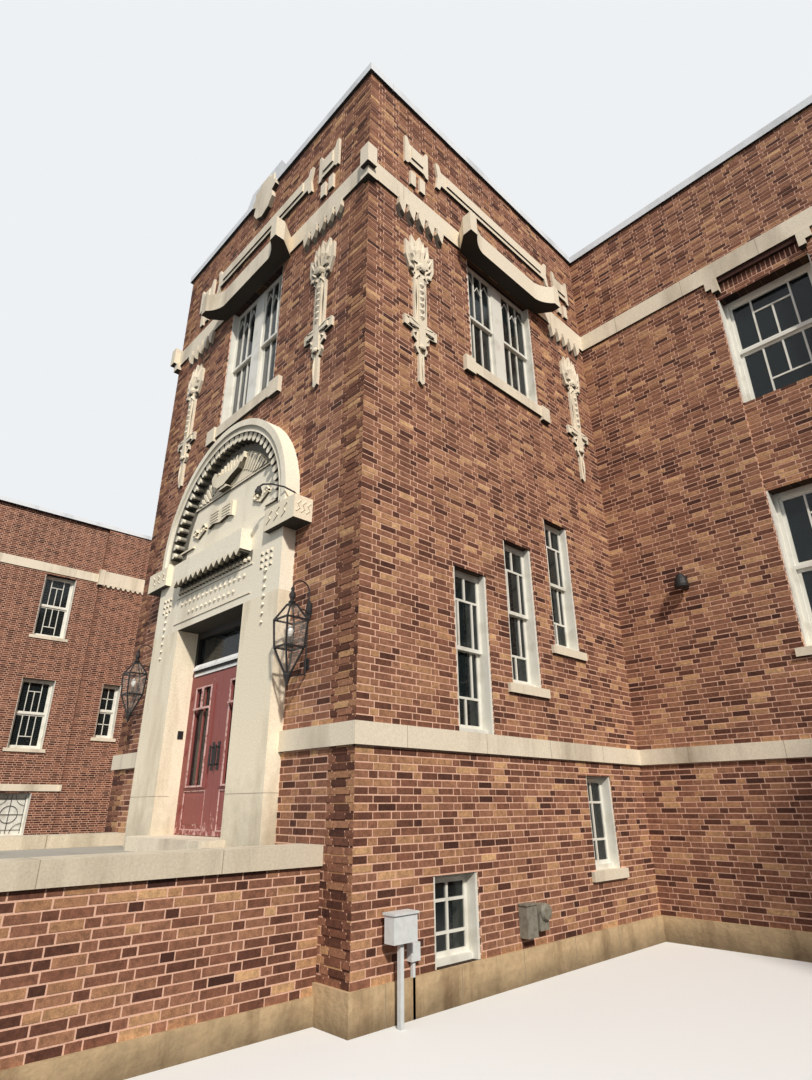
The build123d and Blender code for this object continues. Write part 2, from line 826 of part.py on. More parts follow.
with BuildPart() as portal_lintel:
    block((-portal_width / 2, portal_width / 2), (-portal_projection, 0), (door_opening_head, portal_lintel_top))
    block((-lining_half, lining_half), (0, wall_thickness), (door_opening_head, door_opening_head + lining_head))
    block((-impost_outer + impost_width, impost_outer - impost_width), (-portal_projection, 0),
          (portal_lintel_top, portal_lintel_top + impost_height))
    block((-cornice_width / 2, cornice_width / 2), (-cornice_projection, -portal_projection),
          (cornice_level, cornice_level + cornice_height))
    with BuildSketch(front_plane(-portal_projection)) as drops:
        drop_places = [(place - (drop_count - 1) / 2) * drop_pitch for place in range(drop_count)]
        with Locations(*[(place, cornice_level) for place in drop_places]):
            RegularPolygon(drop_radius, 12, major_radius=False)
        rectangle(-cornice_width, cornice_width, cornice_level, cornice_level + cornice_height, Mode.SUBTRACT)
    extrude(drops.sketch, amount=cornice_projection - portal_projection - drop_set_back)
save(portal_lintel, "portal_lintel")

with BuildPart() as portal_imposts:
    block((impost_outer - impost_width, impost_outer), (-impost_projection, 0),
          (portal_lintel_top, portal_lintel_top + impost_height))
    mirror(about=Plane.YZ)
save(portal_imposts, "portal_imposts")

# Arch: a plain face with a cavetto on its inner edge, and a ring of round-ended teeth inside it
arch_foot = portal_lintel_top + impost_height
arch_inner = arch_radius - arch_ring_width
arch_edge = arch_radius - arch_face_width
cavetto_foot = arch_projection - cavetto_depth
with BuildPart() as portal_arch:
    with BuildSketch(Plane(origin=(0, 0, arch_springing), x_dir=(1, 0, 0), z_dir=(0, 0, -1))) as arch_profile:
        with BuildLine():
            Polyline((arch_inner, cavetto_foot), (arch_inner, 0), (arch_radius, 0),
                     (arch_radius, arch_projection), (arch_edge, arch_projection))
            RadiusArc((arch_edge, arch_projection), (arch_inner, cavetto_foot), arch_face_width)
        make_face()
    extrude(arch_profile.sketch, amount=arch_springing - arch_foot)
    revolve(arch_profile.sketch, axis=Axis((0, 0, arch_springing), (0, -1, 0)), revolution_arc=90)
    tooth_pitch = 90 / tooth_count
    tooth_straight = tooth_length - tooth_width / 2
    with BuildSketch(front_plane(-tympanum_projection)) as teeth:
        with Locations((0, arch_springing)):
            with PolarLocations(arch_inner - tooth_straight / 2, tooth_count, tooth_pitch / 2, 90):
                Rectangle(tooth_straight, tooth_width)
            with PolarLocations(arch_inner - tooth_straight, tooth_count, tooth_pitch / 2, 90):
                RegularPolygon(tooth_width / 2, 12, major_radius=False)
    extrude(teeth.sketch, amount=arch_projection - tooth_set_back - tympanum_projection)
    mirror(about=Plane.YZ)
save(portal_arch, "portal_arch")

with BuildPart() as tympanum:
    with BuildSketch(front_plane(0)):
        with Locations((0, arch_springing)):
            Circle(arch_inner)
        rectangle(-arch_radius, arch_radius, arch_springing - 2 * arch_radius, arch_springing, Mode.SUBTRACT)
        rectangle(-arch_inner, arch_inner, arch_foot, arch_springing)
    extrude(amount=tympanum_projection)
save(tympanum, "tympanum")

with BuildPart() as threshold:
    block((-threshold_width / 2, threshold_width / 2), (-threshold_projection, -portal_projection),
          (deck_level, door_level))
    nose_edges = edges().filter_by(Axis.Z).group_by(Axis.Y)[0]
    fillet(nose_edges, threshold_nose)
    block((-door_half, door_half), (-portal_projection, wall_thickness), (deck_level, door_level))
save(threshold, "threshold")

# Doorway: a frame with a glazed transom over two leaves that open outwards
frame_head = door_opening_head
leaf_outer = door_half - door_frame_width - leaf_gap
leaf_bottom = door_level + leaf_gap
leaf_top = transom_level - leaf_gap
leaf_glass_outside = leaf_glass_inside + leaf_glass_width
glass_bottom = leaf_bottom + leaf_glass_sill
glass_top = glass_bottom + leaf_glass_height
hinge_x = leaf_outer + leaf_gap / 2
hinge_y = door_plane - hinge_radius


def hinge_halves(side, start):
    """Half of each hinge of the right leaf: a barrel with its plate, into the part being built."""
    length = (hinge_length - hinge_gap) / 2
    plate = sorted((hinge_x, hinge_x + side * hinge_reach))
    for height in hinge_heights:
        level = leaf_bottom + height + start
        with Locations((hinge_x, hinge_y, level + length / 2)):
            Cylinder(hinge_radius, length)
        block(plate, (door_plane - hinge_plate, door_plane), (level, level + length))


with BuildPart() as door_frame:
    with BuildSketch(front_plane(door_plane)):
        rectangle(-door_half, door_half, door_level, frame_head)
        rectangle(door_frame_width - door_half, door_half - door_frame_width, door_level,
                  transom_level, Mode.SUBTRACT)
        rectangle(door_frame_width - door_half, door_half - door_frame_width,
                  transom_level + transom_height, frame_head - door_head_width, Mode.SUBTRACT)
    extrude(amount=-door_frame_depth)
    hinge_halves(1, 0)
    mirror(about=Plane.YZ)
save(door_frame, "door_frame")

with BuildPart() as transom_glass:
    with BuildSketch(front_plane(door_plane + (door_frame_depth - glass_thickness) / 2)):
        rectangle(door_frame_width - door_half, door_half - door_frame_width,
                  transom_level + transom_height, frame_head - door_head_width)
    extrude(amount=-glass_thickness)
save(transom_glass, "transom_glass")

handle_y = door_plane - handle_stand
handle_level = leaf_bottom + handle_height
glass_set_back = (leaf_thickness - glass_thickness) / 2
panel_outside = leaf_glass_outside + leaf_glass_inside - leaf_panel_inside
panel_bottom = leaf_bottom + leaf_panel_sill
panel_top = panel_bottom + leaf_panel_height
with BuildPart() as door_leaf:
    with BuildSketch(front_plane(door_plane)):
        rectangle(leaf_gap / 2, leaf_outer, leaf_bottom, leaf_top)
        rectangle(leaf_glass_inside, leaf_glass_outside, glass_bottom, glass_top, Mode.SUBTRACT)
    extrude(amount=-leaf_thickness)
    with BuildSketch(front_plane(door_plane)) as moulding:
        rectangle(leaf_panel_inside, panel_outside, glass_bottom - moulding_height, glass_top + moulding_height)
        rectangle(leaf_glass_inside, leaf_glass_outside, glass_bottom, glass_top, Mode.SUBTRACT)
    extrude(moulding.sketch, amount=moulding_depth)
    with BuildSketch(front_plane(door_plane)) as panel:
        rectangle(leaf_panel_inside, panel_outside, panel_bottom, panel_top)
    extrude(panel.sketch, amount=-leaf_panel_depth, mode=Mode.SUBTRACT)
    glass_middle = (leaf_glass_inside + leaf_glass_outside) / 2
    block((glass_middle - leaf_bar_width / 2, glass_middle + leaf_bar_width / 2),
          (door_plane, door_plane + glass_set_back), (glass_bottom, glass_top))
    hinge_halves(-1, (hinge_length + hinge_gap) / 2)
    block((handle_inside - handle_plate_width / 2, handle_inside + handle_plate_width / 2),
          (door_plane - handle_plate_depth, door_plane),
          (handle_level - handle_plate_length / 2, handle_level + handle_plate_length / 2))
    with Locations((handle_inside, handle_y, handle_level)):
        Cylinder(handle_radius, handle_length)
    for end in (-1, 1):
        foot = handle_level + end * (handle_length / 2 - 2 * handle_radius)
        block((handle_inside - handle_radius / 2, handle_inside + handle_radius / 2), (handle_y, door_plane),
              (foot - handle_radius / 2, foot + handle_radius / 2))
save(door_leaf, "door_leaf_right")
save_mirrored(door_leaf, "door_leaf_left")

with BuildPart() as leaf_glass:
    with BuildSketch(front_plane(door_plane + glass_set_back)):
        rectangle(leaf_glass_inside, leaf_glass_outside, glass_bottom, glass_top)
    extrude(amount=-glass_thickness)
save(leaf_glass, "door_glass_right")
save_mirrored(leaf_glass, "door_glass_left")


def iron_bar(start, end):
    """A square iron bar between two points, into the part being built."""
    run = Vector(*end) - Vector(*start)
    with BuildSketch(Plane(origin=start, z_dir=run)) as section:
        Rectangle(lantern_bar, lantern_bar)
    extrude(section.sketch, amount=run.length)


def iron_ring(level, half):
    """A level square ring round the lantern's axis, into the part being built."""
    with BuildSketch(Plane.XY.offset(level - lantern_ring_height / 2)) as ring:
        with Locations((lantern_x, lantern_y)):
            Rectangle(2 * half, 2 * half)
            Rectangle(2 * half - 2 * lantern_bar, 2 * half - 2 * lantern_bar, mode=Mode.SUBTRACT)
    extrude(ring.sketch, amount=lantern_ring_height)


# Lanterns: a square cage that hangs from a wall bracket bent over like a crook
with BuildPart() as lantern:
    crook_radius = (lantern_stem_y - lantern_y) / 2
    crook_middle = (lantern_stem_y + lantern_y) / 2
    with BuildLine() as crook:
        Line((lantern_x, lantern_stem_y, lantern_stem_foot), (lantern_x, lantern_stem_y, lantern_stem_top))
        ThreePointArc((lantern_x, lantern_stem_y, lantern_stem_top),
                      (lantern_x, crook_middle, lantern_stem_top + crook_radius),
                      (lantern_x, lantern_y, lantern_stem_top))
        Line((lantern_x, lantern_y, lantern_stem_top), (lantern_x, lantern_y, lantern_plate_level))
    with BuildSketch(Plane.XY.offset(lantern_stem_foot)) as crook_section:
        with Locations((lantern_x, lantern_stem_y)):
            RegularPolygon(lantern_bar / 2, 8)
    sweep(crook_section.sketch, path=crook.wires()[0])
    for level in (wall_plate_level, lantern_stem_foot + wall_plate_height):
        block((lantern_x - wall_plate_half, lantern_x + wall_plate_half), (lantern_stem_y / 2, 0),
              (level - wall_plate_height / 2, level + wall_plate_height / 2))
        block((lantern_x - lantern_bar / 2, lantern_x + lantern_bar / 2), (lantern_stem_y, 0),
              (level - lantern_bar / 2, level + lantern_bar / 2))
    block((lantern_x - lantern_plate_half, lantern_x + lantern_plate_half),
          (lantern_y - lantern_plate_half, lantern_y + lantern_plate_half),
          (lantern_plate_level - lantern_bar / 2, lantern_plate_level + lantern_bar / 2))
    iron_ring(lantern_ring_level, lantern_ring_half)
    iron_ring(lantern_lower_level, lantern_lower_half)
    for across in (-1, 1):
        for along in (-1, 1):
            cage = [(lantern_x + across * half, lantern_y + along * half, level) for half, level in (
                (lantern_plate_half - lantern_bar / 2, lantern_plate_level),
                (lantern_ring_half - lantern_bar / 2, lantern_ring_level),
                (lantern_lower_half - lantern_bar / 2, lantern_lower_level),
                (lantern_knob_radius / 3, lantern_knob_level))]
            for start, end in zip(cage, cage[1:]):
                iron_bar(start, end)
    with Locations((lantern_x, lantern_y, lantern_knob_level)):
        Sphere(lantern_knob_radius)
    iron_bar((lantern_x, lantern_y, lantern_knob_level), (lantern_x, lantern_y, lantern_tip_level))
    iron_bar((lantern_x, lantern_stem_y, lantern_stem_foot + lantern_bar),
             (lantern_x, lantern_y, lantern_knob_level))

with BuildPart() as entrance_lanterns:
    add(lantern.part)
    mirror(about=Plane.YZ)
save(entrance_lanterns, "entrance_lanterns")

# Terrace: brick retaining walls with stone caps, a deck between them and steps in front
cap_top = door_level
cap_bottom = cap_top - terrace_cap_height
terrace_inner = terrace_width / 2 - terrace_wall
with BuildPart() as terrace_wall_right:
    block((terrace_inner, terrace_width / 2), (-terrace_length, 0), (0, cap_bottom))
save(terrace_wall_right, "terrace_wall_right")
save_mirrored(terrace_wall_right, "terrace_wall_left")

with BuildPart() as terrace_caps:
    block((terrace_inner, terrace_width / 2 + terrace_cap_overhang),
          (-terrace_length - terrace_cap_overhang, -coping_joint), (cap_bottom, cap_top))
    mirror(about=Plane.YZ)
save(terrace_caps, "terrace_caps")

with BuildPart() as terrace_deck:
    block((-terrace_inner, terrace_inner), (-terrace_length, 0), (deck_level - deck_thickness, deck_level))
save(terrace_deck, "terrace_deck")

with BuildPart() as terrace_front_wall:
    block((-terrace_inner, terrace_inner), (-terrace_length, terrace_wall - terrace_length),
          (0, deck_level - deck_thickness))
save(terrace_front_wall, "terrace_front_wall")

riser = deck_level / (step_count + 1)
with BuildPart() as entrance_steps:
    with BuildSketch(flank_plane(-terrace_inner)):
        with BuildLine():
            profile = [(-terrace_length, 0)]
            for step in range(step_count):
                rise = deck_level - (step + 1) * riser
                profile.append((-terrace_length - step * step_tread, rise))
                profile.append((-terrace_length - (step + 1) * step_tread, rise))
            profile.append((-terrace_length - step_count * step_tread, 0))
            Polyline(*profile, close=True)
        make_face()
    extrude(amount=2 * terrace_inner)
save(entrance_steps, "entrance_steps")
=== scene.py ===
"""The looks of a brick apartment building in a former school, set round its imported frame.

Metres, in the frame's own axes: X along the front, Y into the building, Z up from the ground.
"""
import math

import bpy
import numpy as np
from mathutils import Matrix, Vector


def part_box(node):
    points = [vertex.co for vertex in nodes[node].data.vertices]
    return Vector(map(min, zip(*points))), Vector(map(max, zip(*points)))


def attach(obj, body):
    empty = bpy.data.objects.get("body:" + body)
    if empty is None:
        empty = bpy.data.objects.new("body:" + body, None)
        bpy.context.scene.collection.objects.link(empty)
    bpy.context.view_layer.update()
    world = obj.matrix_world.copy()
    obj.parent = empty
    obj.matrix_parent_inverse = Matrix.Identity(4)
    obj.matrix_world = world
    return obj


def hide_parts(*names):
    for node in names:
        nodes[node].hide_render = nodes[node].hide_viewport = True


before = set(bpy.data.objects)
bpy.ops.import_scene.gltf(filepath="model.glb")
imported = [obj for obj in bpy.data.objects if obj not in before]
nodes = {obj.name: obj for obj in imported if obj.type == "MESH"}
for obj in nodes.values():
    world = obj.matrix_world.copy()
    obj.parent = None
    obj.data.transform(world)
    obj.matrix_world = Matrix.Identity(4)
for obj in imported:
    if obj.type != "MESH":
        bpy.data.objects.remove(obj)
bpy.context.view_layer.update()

# Camera: where the photograph was taken, close to the right of the entrance and looking up to the left.
# A wide lens, 21 mm on a frame 36 mm high, held almost level from side to side.
camera_place = Vector((7.529, -3.847, 1.664))
camera_turn = math.radians(46.08)
camera_lift = math.radians(22.81)
camera_roll = math.radians(-0.37)
camera_data = bpy.data.cameras.new("photo_camera")
camera_data.sensor_width = 36.0
camera_data.lens = 21.07
camera_data.clip_end = 500.0
camera = bpy.data.objects.new("photo_camera", camera_data)
camera.matrix_world = (
    Matrix.Translation(camera_place)
    @ Matrix.Rotation(camera_turn, 4, "Z")
    @ Matrix.Rotation(math.pi / 2 + camera_lift, 4, "X")
    @ Matrix.Rotation(camera_roll, 4, "Z")
)
bpy.context.scene.collection.objects.link(camera)
bpy.context.scene.camera = camera

# Brick facing: wire-cut clay bricks in monk bond, two stretchers and a header in each course, laid in wide
# tan mortar. Each brick is a low block, 4 mm proud of the wall, which shows through as the raked joints.
course_height = 0.06985
brick_height = 0.0555
stretcher = 0.214
header = 0.102
upright_joint = 0.0135
bond_length = 2 * stretcher + header + 3 * upright_joint
brick_proud = 0.004
brick_bedded = 0.002
smallest_cut = 0.012
edge_wobble = 0.0018
dice = np.random.default_rng(11)


def linear(colour):
    """An sRGB hex colour as the linear colour that shaders take."""
    parts = [int(colour[place:place + 2], 16) / 255 for place in (1, 3, 5)]
    return tuple(
        part / 12.92 if part <= 0.04045 else ((part + 0.055) / 1.055) ** 2.4 for part in parts
    ) + (1.0,)


def add_node(owner, kind, inputs=(), **settings):
    """Add a shader node with its settings. An input is a value, a socket, or a node, for its first output."""
    tree = owner.node_tree
    node = tree.nodes.new("ShaderNode" + kind)
    for name, value in settings.items():
        setattr(node, name, value)
    for place, source in dict(inputs).items():
        if isinstance(source, bpy.types.Node):
            source = source.outputs[0]
        if isinstance(source, bpy.types.NodeSocket):
            tree.links.new(source, node.inputs[place])
        else:
            node.inputs[place].default_value = source
    return node


def new_material(name):
    """A bare material: its shader tree holds only what is added to it."""
    material = bpy.data.materials.new(name)
    material.use_nodes = True
    material.node_tree.nodes.clear()
    return material


def clouds(material, place, size, detail, edges=(0.0, 1.0), tones=(0.0, 1.0), breakup=0.5):
    """Clouds of a real size in metres: their noise, and a factor that goes with it from one tone to another."""
    noise = add_node(material, "TexNoise", {
        "Vector": place, "Scale": 1 / size, "Detail": detail, "Roughness": breakup})
    factor = add_node(material, "MapRange", {
        "Value": noise, "From Min": edges[0], "From Max": edges[1], "To Min": tones[0], "To Max": tones[1]})
    return noise, factor


def coat(material, *names):
    """Give CAD nodes one material."""
    for name in names:
        nodes[name].data.materials.clear()
        nodes[name].data.materials.append(material)


def loose_boxes(name):
    """The boxes of a CAD node's separate solids, as (low corner, high corner) pairs."""
    mesh = nodes[name].data
    places = nodes[name].matrix_world
    points = np.array([places @ vertex.co for vertex in mesh.vertices])
    keys = {}
    owner = np.array([keys.setdefault(tuple(np.round(point, 5)), len(keys)) for point in points])
    group = np.arange(len(keys))

    def root(item):
        while group[item] != item:
            group[item] = group[group[item]]
            item = group[item]
        return item

    for edge in mesh.edges:
        first, second = root(owner[edge.vertices[0]]), root(owner[edge.vertices[1]])
        group[first] = second
    solids = {}
    for place, point in zip(owner, points):
        solids.setdefault(root(place), []).append(point)
    return [(np.min(solid, axis=0), np.max(solid, axis=0)) for solid in solids.values()]


def mesh_piece(name, points, faces, material, body="building"):
    """A named mesh that rides on a body, with one material as its finish."""
    mesh = bpy.data.meshes.new(name)
    mesh.from_pydata(points, [], faces)
    mesh.materials.append(material)
    piece = bpy.data.objects.new(name, mesh)
    bpy.context.scene.collection.objects.link(piece)
    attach(piece, body)
    return piece


def joined_blocks(name, blocks, material):
    """One piece of many blocks, each given by its eight corners."""
    corners = np.asarray(blocks, dtype=float)
    sides = np.array([(0, 1, 2, 3), (7, 6, 5, 4), (0, 4, 5, 1), (1, 5, 6, 2), (2, 6, 7, 3), (3, 7, 4, 0)])
    faces = (sides[None] + 8 * np.arange(len(corners))[:, None, None]).reshape(-1, 4)
    return mesh_piece(name, corners.reshape(-1, 3).tolist(), faces.tolist(), material)


def face_blocks(rects, origin, along, outward, back, front):
    """Blocks that stand on an upright face: rects hold (left, right, bottom, top) along the face."""
    along = np.array(along, dtype=float)
    outward = np.array(outward, dtype=float)
    rects = np.asarray(rects, dtype=float).reshape(-1, 4)
    turned_round = np.dot(np.cross(along, (0, 0, 1)), outward) > 0
    ring = ((0, 2), (1, 2), (1, 3), (0, 3)) if turned_round else ((0, 3), (1, 3), (1, 2), (0, 2))
    corners = []
    for depth in (front, back):
        depth = np.broadcast_to(depth, len(rects))
        for side, level in ring:
            corner = np.array(origin, dtype=float) + np.outer(rects[:, side], along) + np.outer(depth, outward)
            corner[:, 2] += rects[:, level]
            corners.append(corner)
    return np.stack(corners, axis=1)


def keep_outside(bricks, hole):
    """What is left of the bricks when a rectangle is taken out of the wall."""
    left, right, bottom, top = hole
    kept = []
    for brick in bricks:
        low, high, foot, head = brick
        if high <= left or low >= right or head <= bottom or foot >= top:
            kept.append(brick)
            continue
        if foot < bottom:
            kept.append((low, high, foot, bottom))
        if head > top:
            kept.append((low, high, top, head))
        if low < left:
            kept.append((low, left, max(foot, bottom), min(head, top)))
        if high > right:
            kept.append((right, high, max(foot, bottom), min(head, top)))
    return kept


def monk_bond(left, right, bottom, top, holes):
    """The rectangles of the bricks of one stretch of wall, course by course."""
    bricks = []
    for course in range(math.ceil((top - bottom) / course_height)):
        foot = bottom + course * course_height
        head = min(foot + brick_height, top)
        place = left - (bond_length / 2 if course % 2 else 0)
        while place < right:
            for length in (stretcher, stretcher, header):
                if place + length > left and place < right:
                    bricks.append((max(place, left), min(place + length, right), foot, head))
                place += length + upright_joint
    for hole in holes:
        bricks = keep_outside(bricks, hole)
    return [brick for brick in bricks if min(brick[1] - brick[0], brick[3] - brick[2]) > smallest_cut]


def brick_piece(name, laid, middle=0.5, spread=1.0):
    """Lay the bricks of some stretches of wall as one piece, each with its own firing and uneven edges."""
    blocks = []
    for rects, origin, along, outward in laid:
        proud = brick_proud + dice.uniform(-0.0015, 0.001, len(rects))
        rects = np.asarray(rects, dtype=float).reshape(-1, 4)
        wavy = rects + dice.uniform(-edge_wobble, edge_wobble, rects.shape)
        blocks.extend(face_blocks(wavy, origin, along, outward, -brick_bedded, proud))
    firing = middle + spread * (dice.beta(2.0, 2.0, len(blocks)) - 0.5)
    piece = joined_blocks(name, blocks, fired_clay)
    shades = np.repeat(firing.astype(np.float32), len(piece.data.polygons) // len(blocks))
    piece.data.attributes.new("firing", "FLOAT", "FACE").data.foreach_set("value", shades)


# Fired clay with a sanded face: matt, each brick its own shade from purple brown to orange brown, mottled
# and speckled where the sand is darker. Grains of sand are drawn 9 mm wide, coarser than real, to show.
clay_colours = {0.0: "#3C231C", 0.2: "#5E3B2E", 0.4: "#7F5441", 0.6: "#956851", 0.8: "#AA7E5C", 1.0: "#CEA478"}


def clay_ramp(material, factor):
    """The colours of the clay from hard burnt to soft."""
    ramp = add_node(material, "ValToRGB", {"Fac": factor})
    stops = ramp.color_ramp.elements
    stops.remove(stops[-1])
    for place, colour in clay_colours.items():
        stop = stops[0] if place == 0.0 else stops.new(place)
        stop.position = place
        stop.color = linear(colour)
    return ramp


fired_clay = new_material("fired_clay_brick")
geometry = add_node(fired_clay, "NewGeometry")
firing = add_node(fired_clay, "Attribute", attribute_name="firing")
clay = clay_ramp(fired_clay, firing.outputs["Fac"])
sand, sand_tone = clouds(fired_clay, geometry, 0.009, 3.0, (0.3, 0.7), (0.78, 1.18))
_, smoke_tone = clouds(fired_clay, geometry, 0.9, 4.0, (0.3, 0.7), (0.86, 1.1))
_, mottle_tone = clouds(fired_clay, geometry, 0.045, 3.0, (0.32, 0.66), (0.72, 1.3), 0.65)
tone = add_node(fired_clay, "Math", {0: sand_tone, 1: smoke_tone}, operation="MULTIPLY")
tone = add_node(fired_clay, "Math", {0: tone, 1: mottle_tone}, operation="MULTIPLY")
shaded = add_node(fired_clay, "VectorMath", {0: clay, "Scale": tone}, operation="SCALE")
bump = add_node(fired_clay, "Bump", {"Strength": 0.5, "Distance": 0.002, "Height": sand})
shader = add_node(fired_clay, "BsdfPrincipled", {
    "Base Color": shaded, "Roughness": 0.92, "Specular IOR Level": 0.3, "Normal": bump})
add_node(fired_clay, "OutputMaterial", {"Surface": shader})


def brickwork(name, laid_on=None, return_plane=None):
    """Brickwork drawn on a wall, with plain mortar on the faces that carry laid bricks.

    Those are the faces to the front, or those that look away from or towards the middle of the building, and
    the front faces in the return plane.
    """
    material = new_material(name)
    geometry = add_node(material, "NewGeometry")
    place = add_node(material, "SeparateXYZ", {0: geometry})
    facing = add_node(material, "VectorMath", {0: geometry.outputs["Normal"]}, operation="ABSOLUTE")
    facing = add_node(material, "SeparateXYZ", {0: facing})
    # Painted shade: faces that look up or down, such as the heads of openings, are drawn darker
    painted_soffit_shade = add_node(material, "MapRange", {
        "Value": facing.outputs["Z"], "From Min": 0.3, "From Max": 0.7, "To Min": 1.0, "To Max": 0.1})
    flank = add_node(material, "Math", {0: facing.outputs["X"], 1: 0.5}, operation="GREATER_THAN")
    across = add_node(material, "Math", {0: place.outputs["Y"], 1: place.outputs["X"]}, operation="SUBTRACT")
    along = add_node(material, "Math", {0: across, 1: flank, 2: place.outputs["X"]}, operation="MULTIPLY_ADD")

    # Where the point lies: its course, its bond of three bricks, and its brick in the bond
    courses = add_node(material, "Math", {0: place.outputs["Z"], 1: course_height}, operation="DIVIDE")
    course = add_node(material, "Math", {0: courses}, operation="FLOOR")
    height = add_node(material, "Math", {0: courses}, operation="FRACT")
    shifted = add_node(material, "Math", {0: course, 1: bond_length / 2, 2: along}, operation="MULTIPLY_ADD")
    bonds = add_node(material, "Math", {0: shifted, 1: bond_length}, operation="DIVIDE")
    bond = add_node(material, "Math", {0: bonds}, operation="FLOOR")
    inside = add_node(material, "Math", {0: bonds}, operation="FRACT")
    pitch = (stretcher + upright_joint) / bond_length
    second = add_node(material, "Math", {0: inside, 1: pitch}, operation="GREATER_THAN")
    third = add_node(material, "Math", {0: inside, 1: 2 * pitch}, operation="GREATER_THAN")
    which = add_node(material, "Math", {0: second, 1: third}, operation="ADD")
    local = add_node(material, "Math", {0: which, 1: -pitch, 2: inside}, operation="MULTIPLY_ADD")
    bed = add_node(material, "Math", {0: height, 1: brick_height / course_height}, operation="LESS_THAN")
    upright = add_node(material, "Math", {0: local, 1: upright_joint / bond_length}, operation="GREATER_THAN")
    brick = add_node(material, "Math", {0: bed, 1: upright}, operation="MULTIPLY")
    number = add_node(material, "Math", {0: bond, 1: 3.0, 2: which}, operation="MULTIPLY_ADD")
    mark = add_node(material, "CombineXYZ", {"X": number, "Y": course})
    chance = add_node(material, "TexWhiteNoise", {"Vector": mark})
    clay = clay_ramp(material, chance)

    # No brick is drawn where bricks are laid
    laid = []
    if laid_on:
        look = add_node(material, "SeparateXYZ", {0: geometry.outputs["Normal"]})
        front = add_node(material, "Math", {0: look.outputs["Y"], 1: -0.5}, operation="LESS_THAN")
    if laid_on == "front":
        laid.append(front)
    elif laid_on:
        hand = add_node(material, "Math", {0: place.outputs["X"]}, operation="SIGN")
        away = add_node(material, "Math", {0: look.outputs["X"], 1: hand}, operation="MULTIPLY")
        looks = {"away": 1.0, "towards": -1.0}[laid_on]
        outward = add_node(material, "Math", {0: away, 1: looks}, operation="MULTIPLY")
        laid.append(add_node(material, "Math", {0: outward, 1: 0.5}, operation="GREATER_THAN"))
    if return_plane is not None:
        near = add_node(material, "Math", {
            0: place.outputs["Y"], 1: return_plane, 2: 0.01}, operation="COMPARE")
        laid.append(add_node(material, "Math", {0: near, 1: front}, operation="MULTIPLY"))
    for faces in laid:
        brick = add_node(material, "Math", {0: brick, 1: faces}, operation="SUBTRACT", use_clamp=True)

    grit, grit_tone = clouds(material, geometry, 0.012, 3.0, (0.3, 0.7), (0.82, 1.12))
    tone = add_node(material, "Math", {0: grit_tone, 1: painted_soffit_shade}, operation="MULTIPLY")
    mortar = add_node(material, "VectorMath", {0: linear(mortar_colour)[:3], "Scale": tone}, operation="SCALE")
    clay = add_node(material, "VectorMath", {0: clay, "Scale": tone}, operation="SCALE")
    surface = add_node(material, "Mix", {0: brick, 6: mortar, 7: clay}, data_type="RGBA")
    relief = add_node(material, "Math", {0: grit, 1: 0.2, 2: brick}, operation="MULTIPLY_ADD")
    bump = add_node(material, "Bump", {"Strength": 0.6, "Distance": brick_proud, "Height": relief})
    shader = add_node(material, "BsdfPrincipled", {
        "Base Color": surface.outputs[2], "Roughness": 0.95, "Specular IOR Level": 0.25, "Normal": bump})
    add_node(material, "OutputMaterial", {"Surface": shader})
    return material


# Lime mortar, tan with a pink cast from its sand, raked back behind the bricks: matt and gritty, and lighter
# than they are. The walls that carry laid bricks show it on their faces, and drawn brickwork in their reveals.
mortar_colour = "#E8BBA2"
pavilion_foot = 3.61
terrace_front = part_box("terrace_wall_right")[0][1]
coat(brickwork("brickwork_of_front_walls", "front"), "tower_front_left", "tower_front_right",
     "tower_front_over_door", "tower_front_under_door", "main_wall_left", "main_wall_right", "wing_front_left",
     "wing_front_right", "terrace_front_wall")
coat(brickwork("brickwork_of_tower_flanks", "away"), "tower_flank_left", "tower_flank_right")
coat(brickwork("brickwork_of_wing_flanks", "towards", pavilion_foot), "wing_flank_left", "wing_flank_right")
coat(brickwork("brickwork_of_terrace", "away", terrace_front), "terrace_wall_left", "terrace_wall_right")
coat(brickwork("brickwork_of_back_walls"), "back_wall", "party_wall_left", "party_wall_right")

# Laid bricks on every wall that the front shows, in the heights between the stone base, belt, band and coping.
# The tower comes first, whose bricks stop round its windows, the portal and the terrace.
wall_thickness = 0.4
smallest_opening = 0.4
base_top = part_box("stone_base")[1][2]
(_, _, belt_low), (_, _, belt_top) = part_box("lower_belt")
(_, _, band_low), (_, _, band_top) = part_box("upper_band")
coping_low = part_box("coping")[0][2]
wall_heights = ((base_top, belt_low), (belt_top, band_low), (band_top, coping_low))
tower_half, tower_depth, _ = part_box("tower_flank_right")[1]
tower_openings = loose_boxes("tower_window_frames")
front_look, along_front = (0, -1, 0), (1, 0, 0)
along_flank = (0, 1, 0)


def holes_on(openings, axis, low, high):
    """Openings whose middle along a wall's thickness lies between two limits, as rectangles on the wall."""
    spread = 0 if axis == 1 else 1
    return [(first[spread], last[spread], first[2], last[2]) for first, last in openings
            if low < (first[axis] + last[axis]) / 2 < high and last[spread] - first[spread] > smallest_opening]


def stretches(origin, along, outward, left, right, holes, heights=wall_heights):
    """One stretch of bricks for each height between the stone courses."""
    return [(monk_bond(left, right, bottom, top, holes), origin, along, outward) for bottom, top in heights]


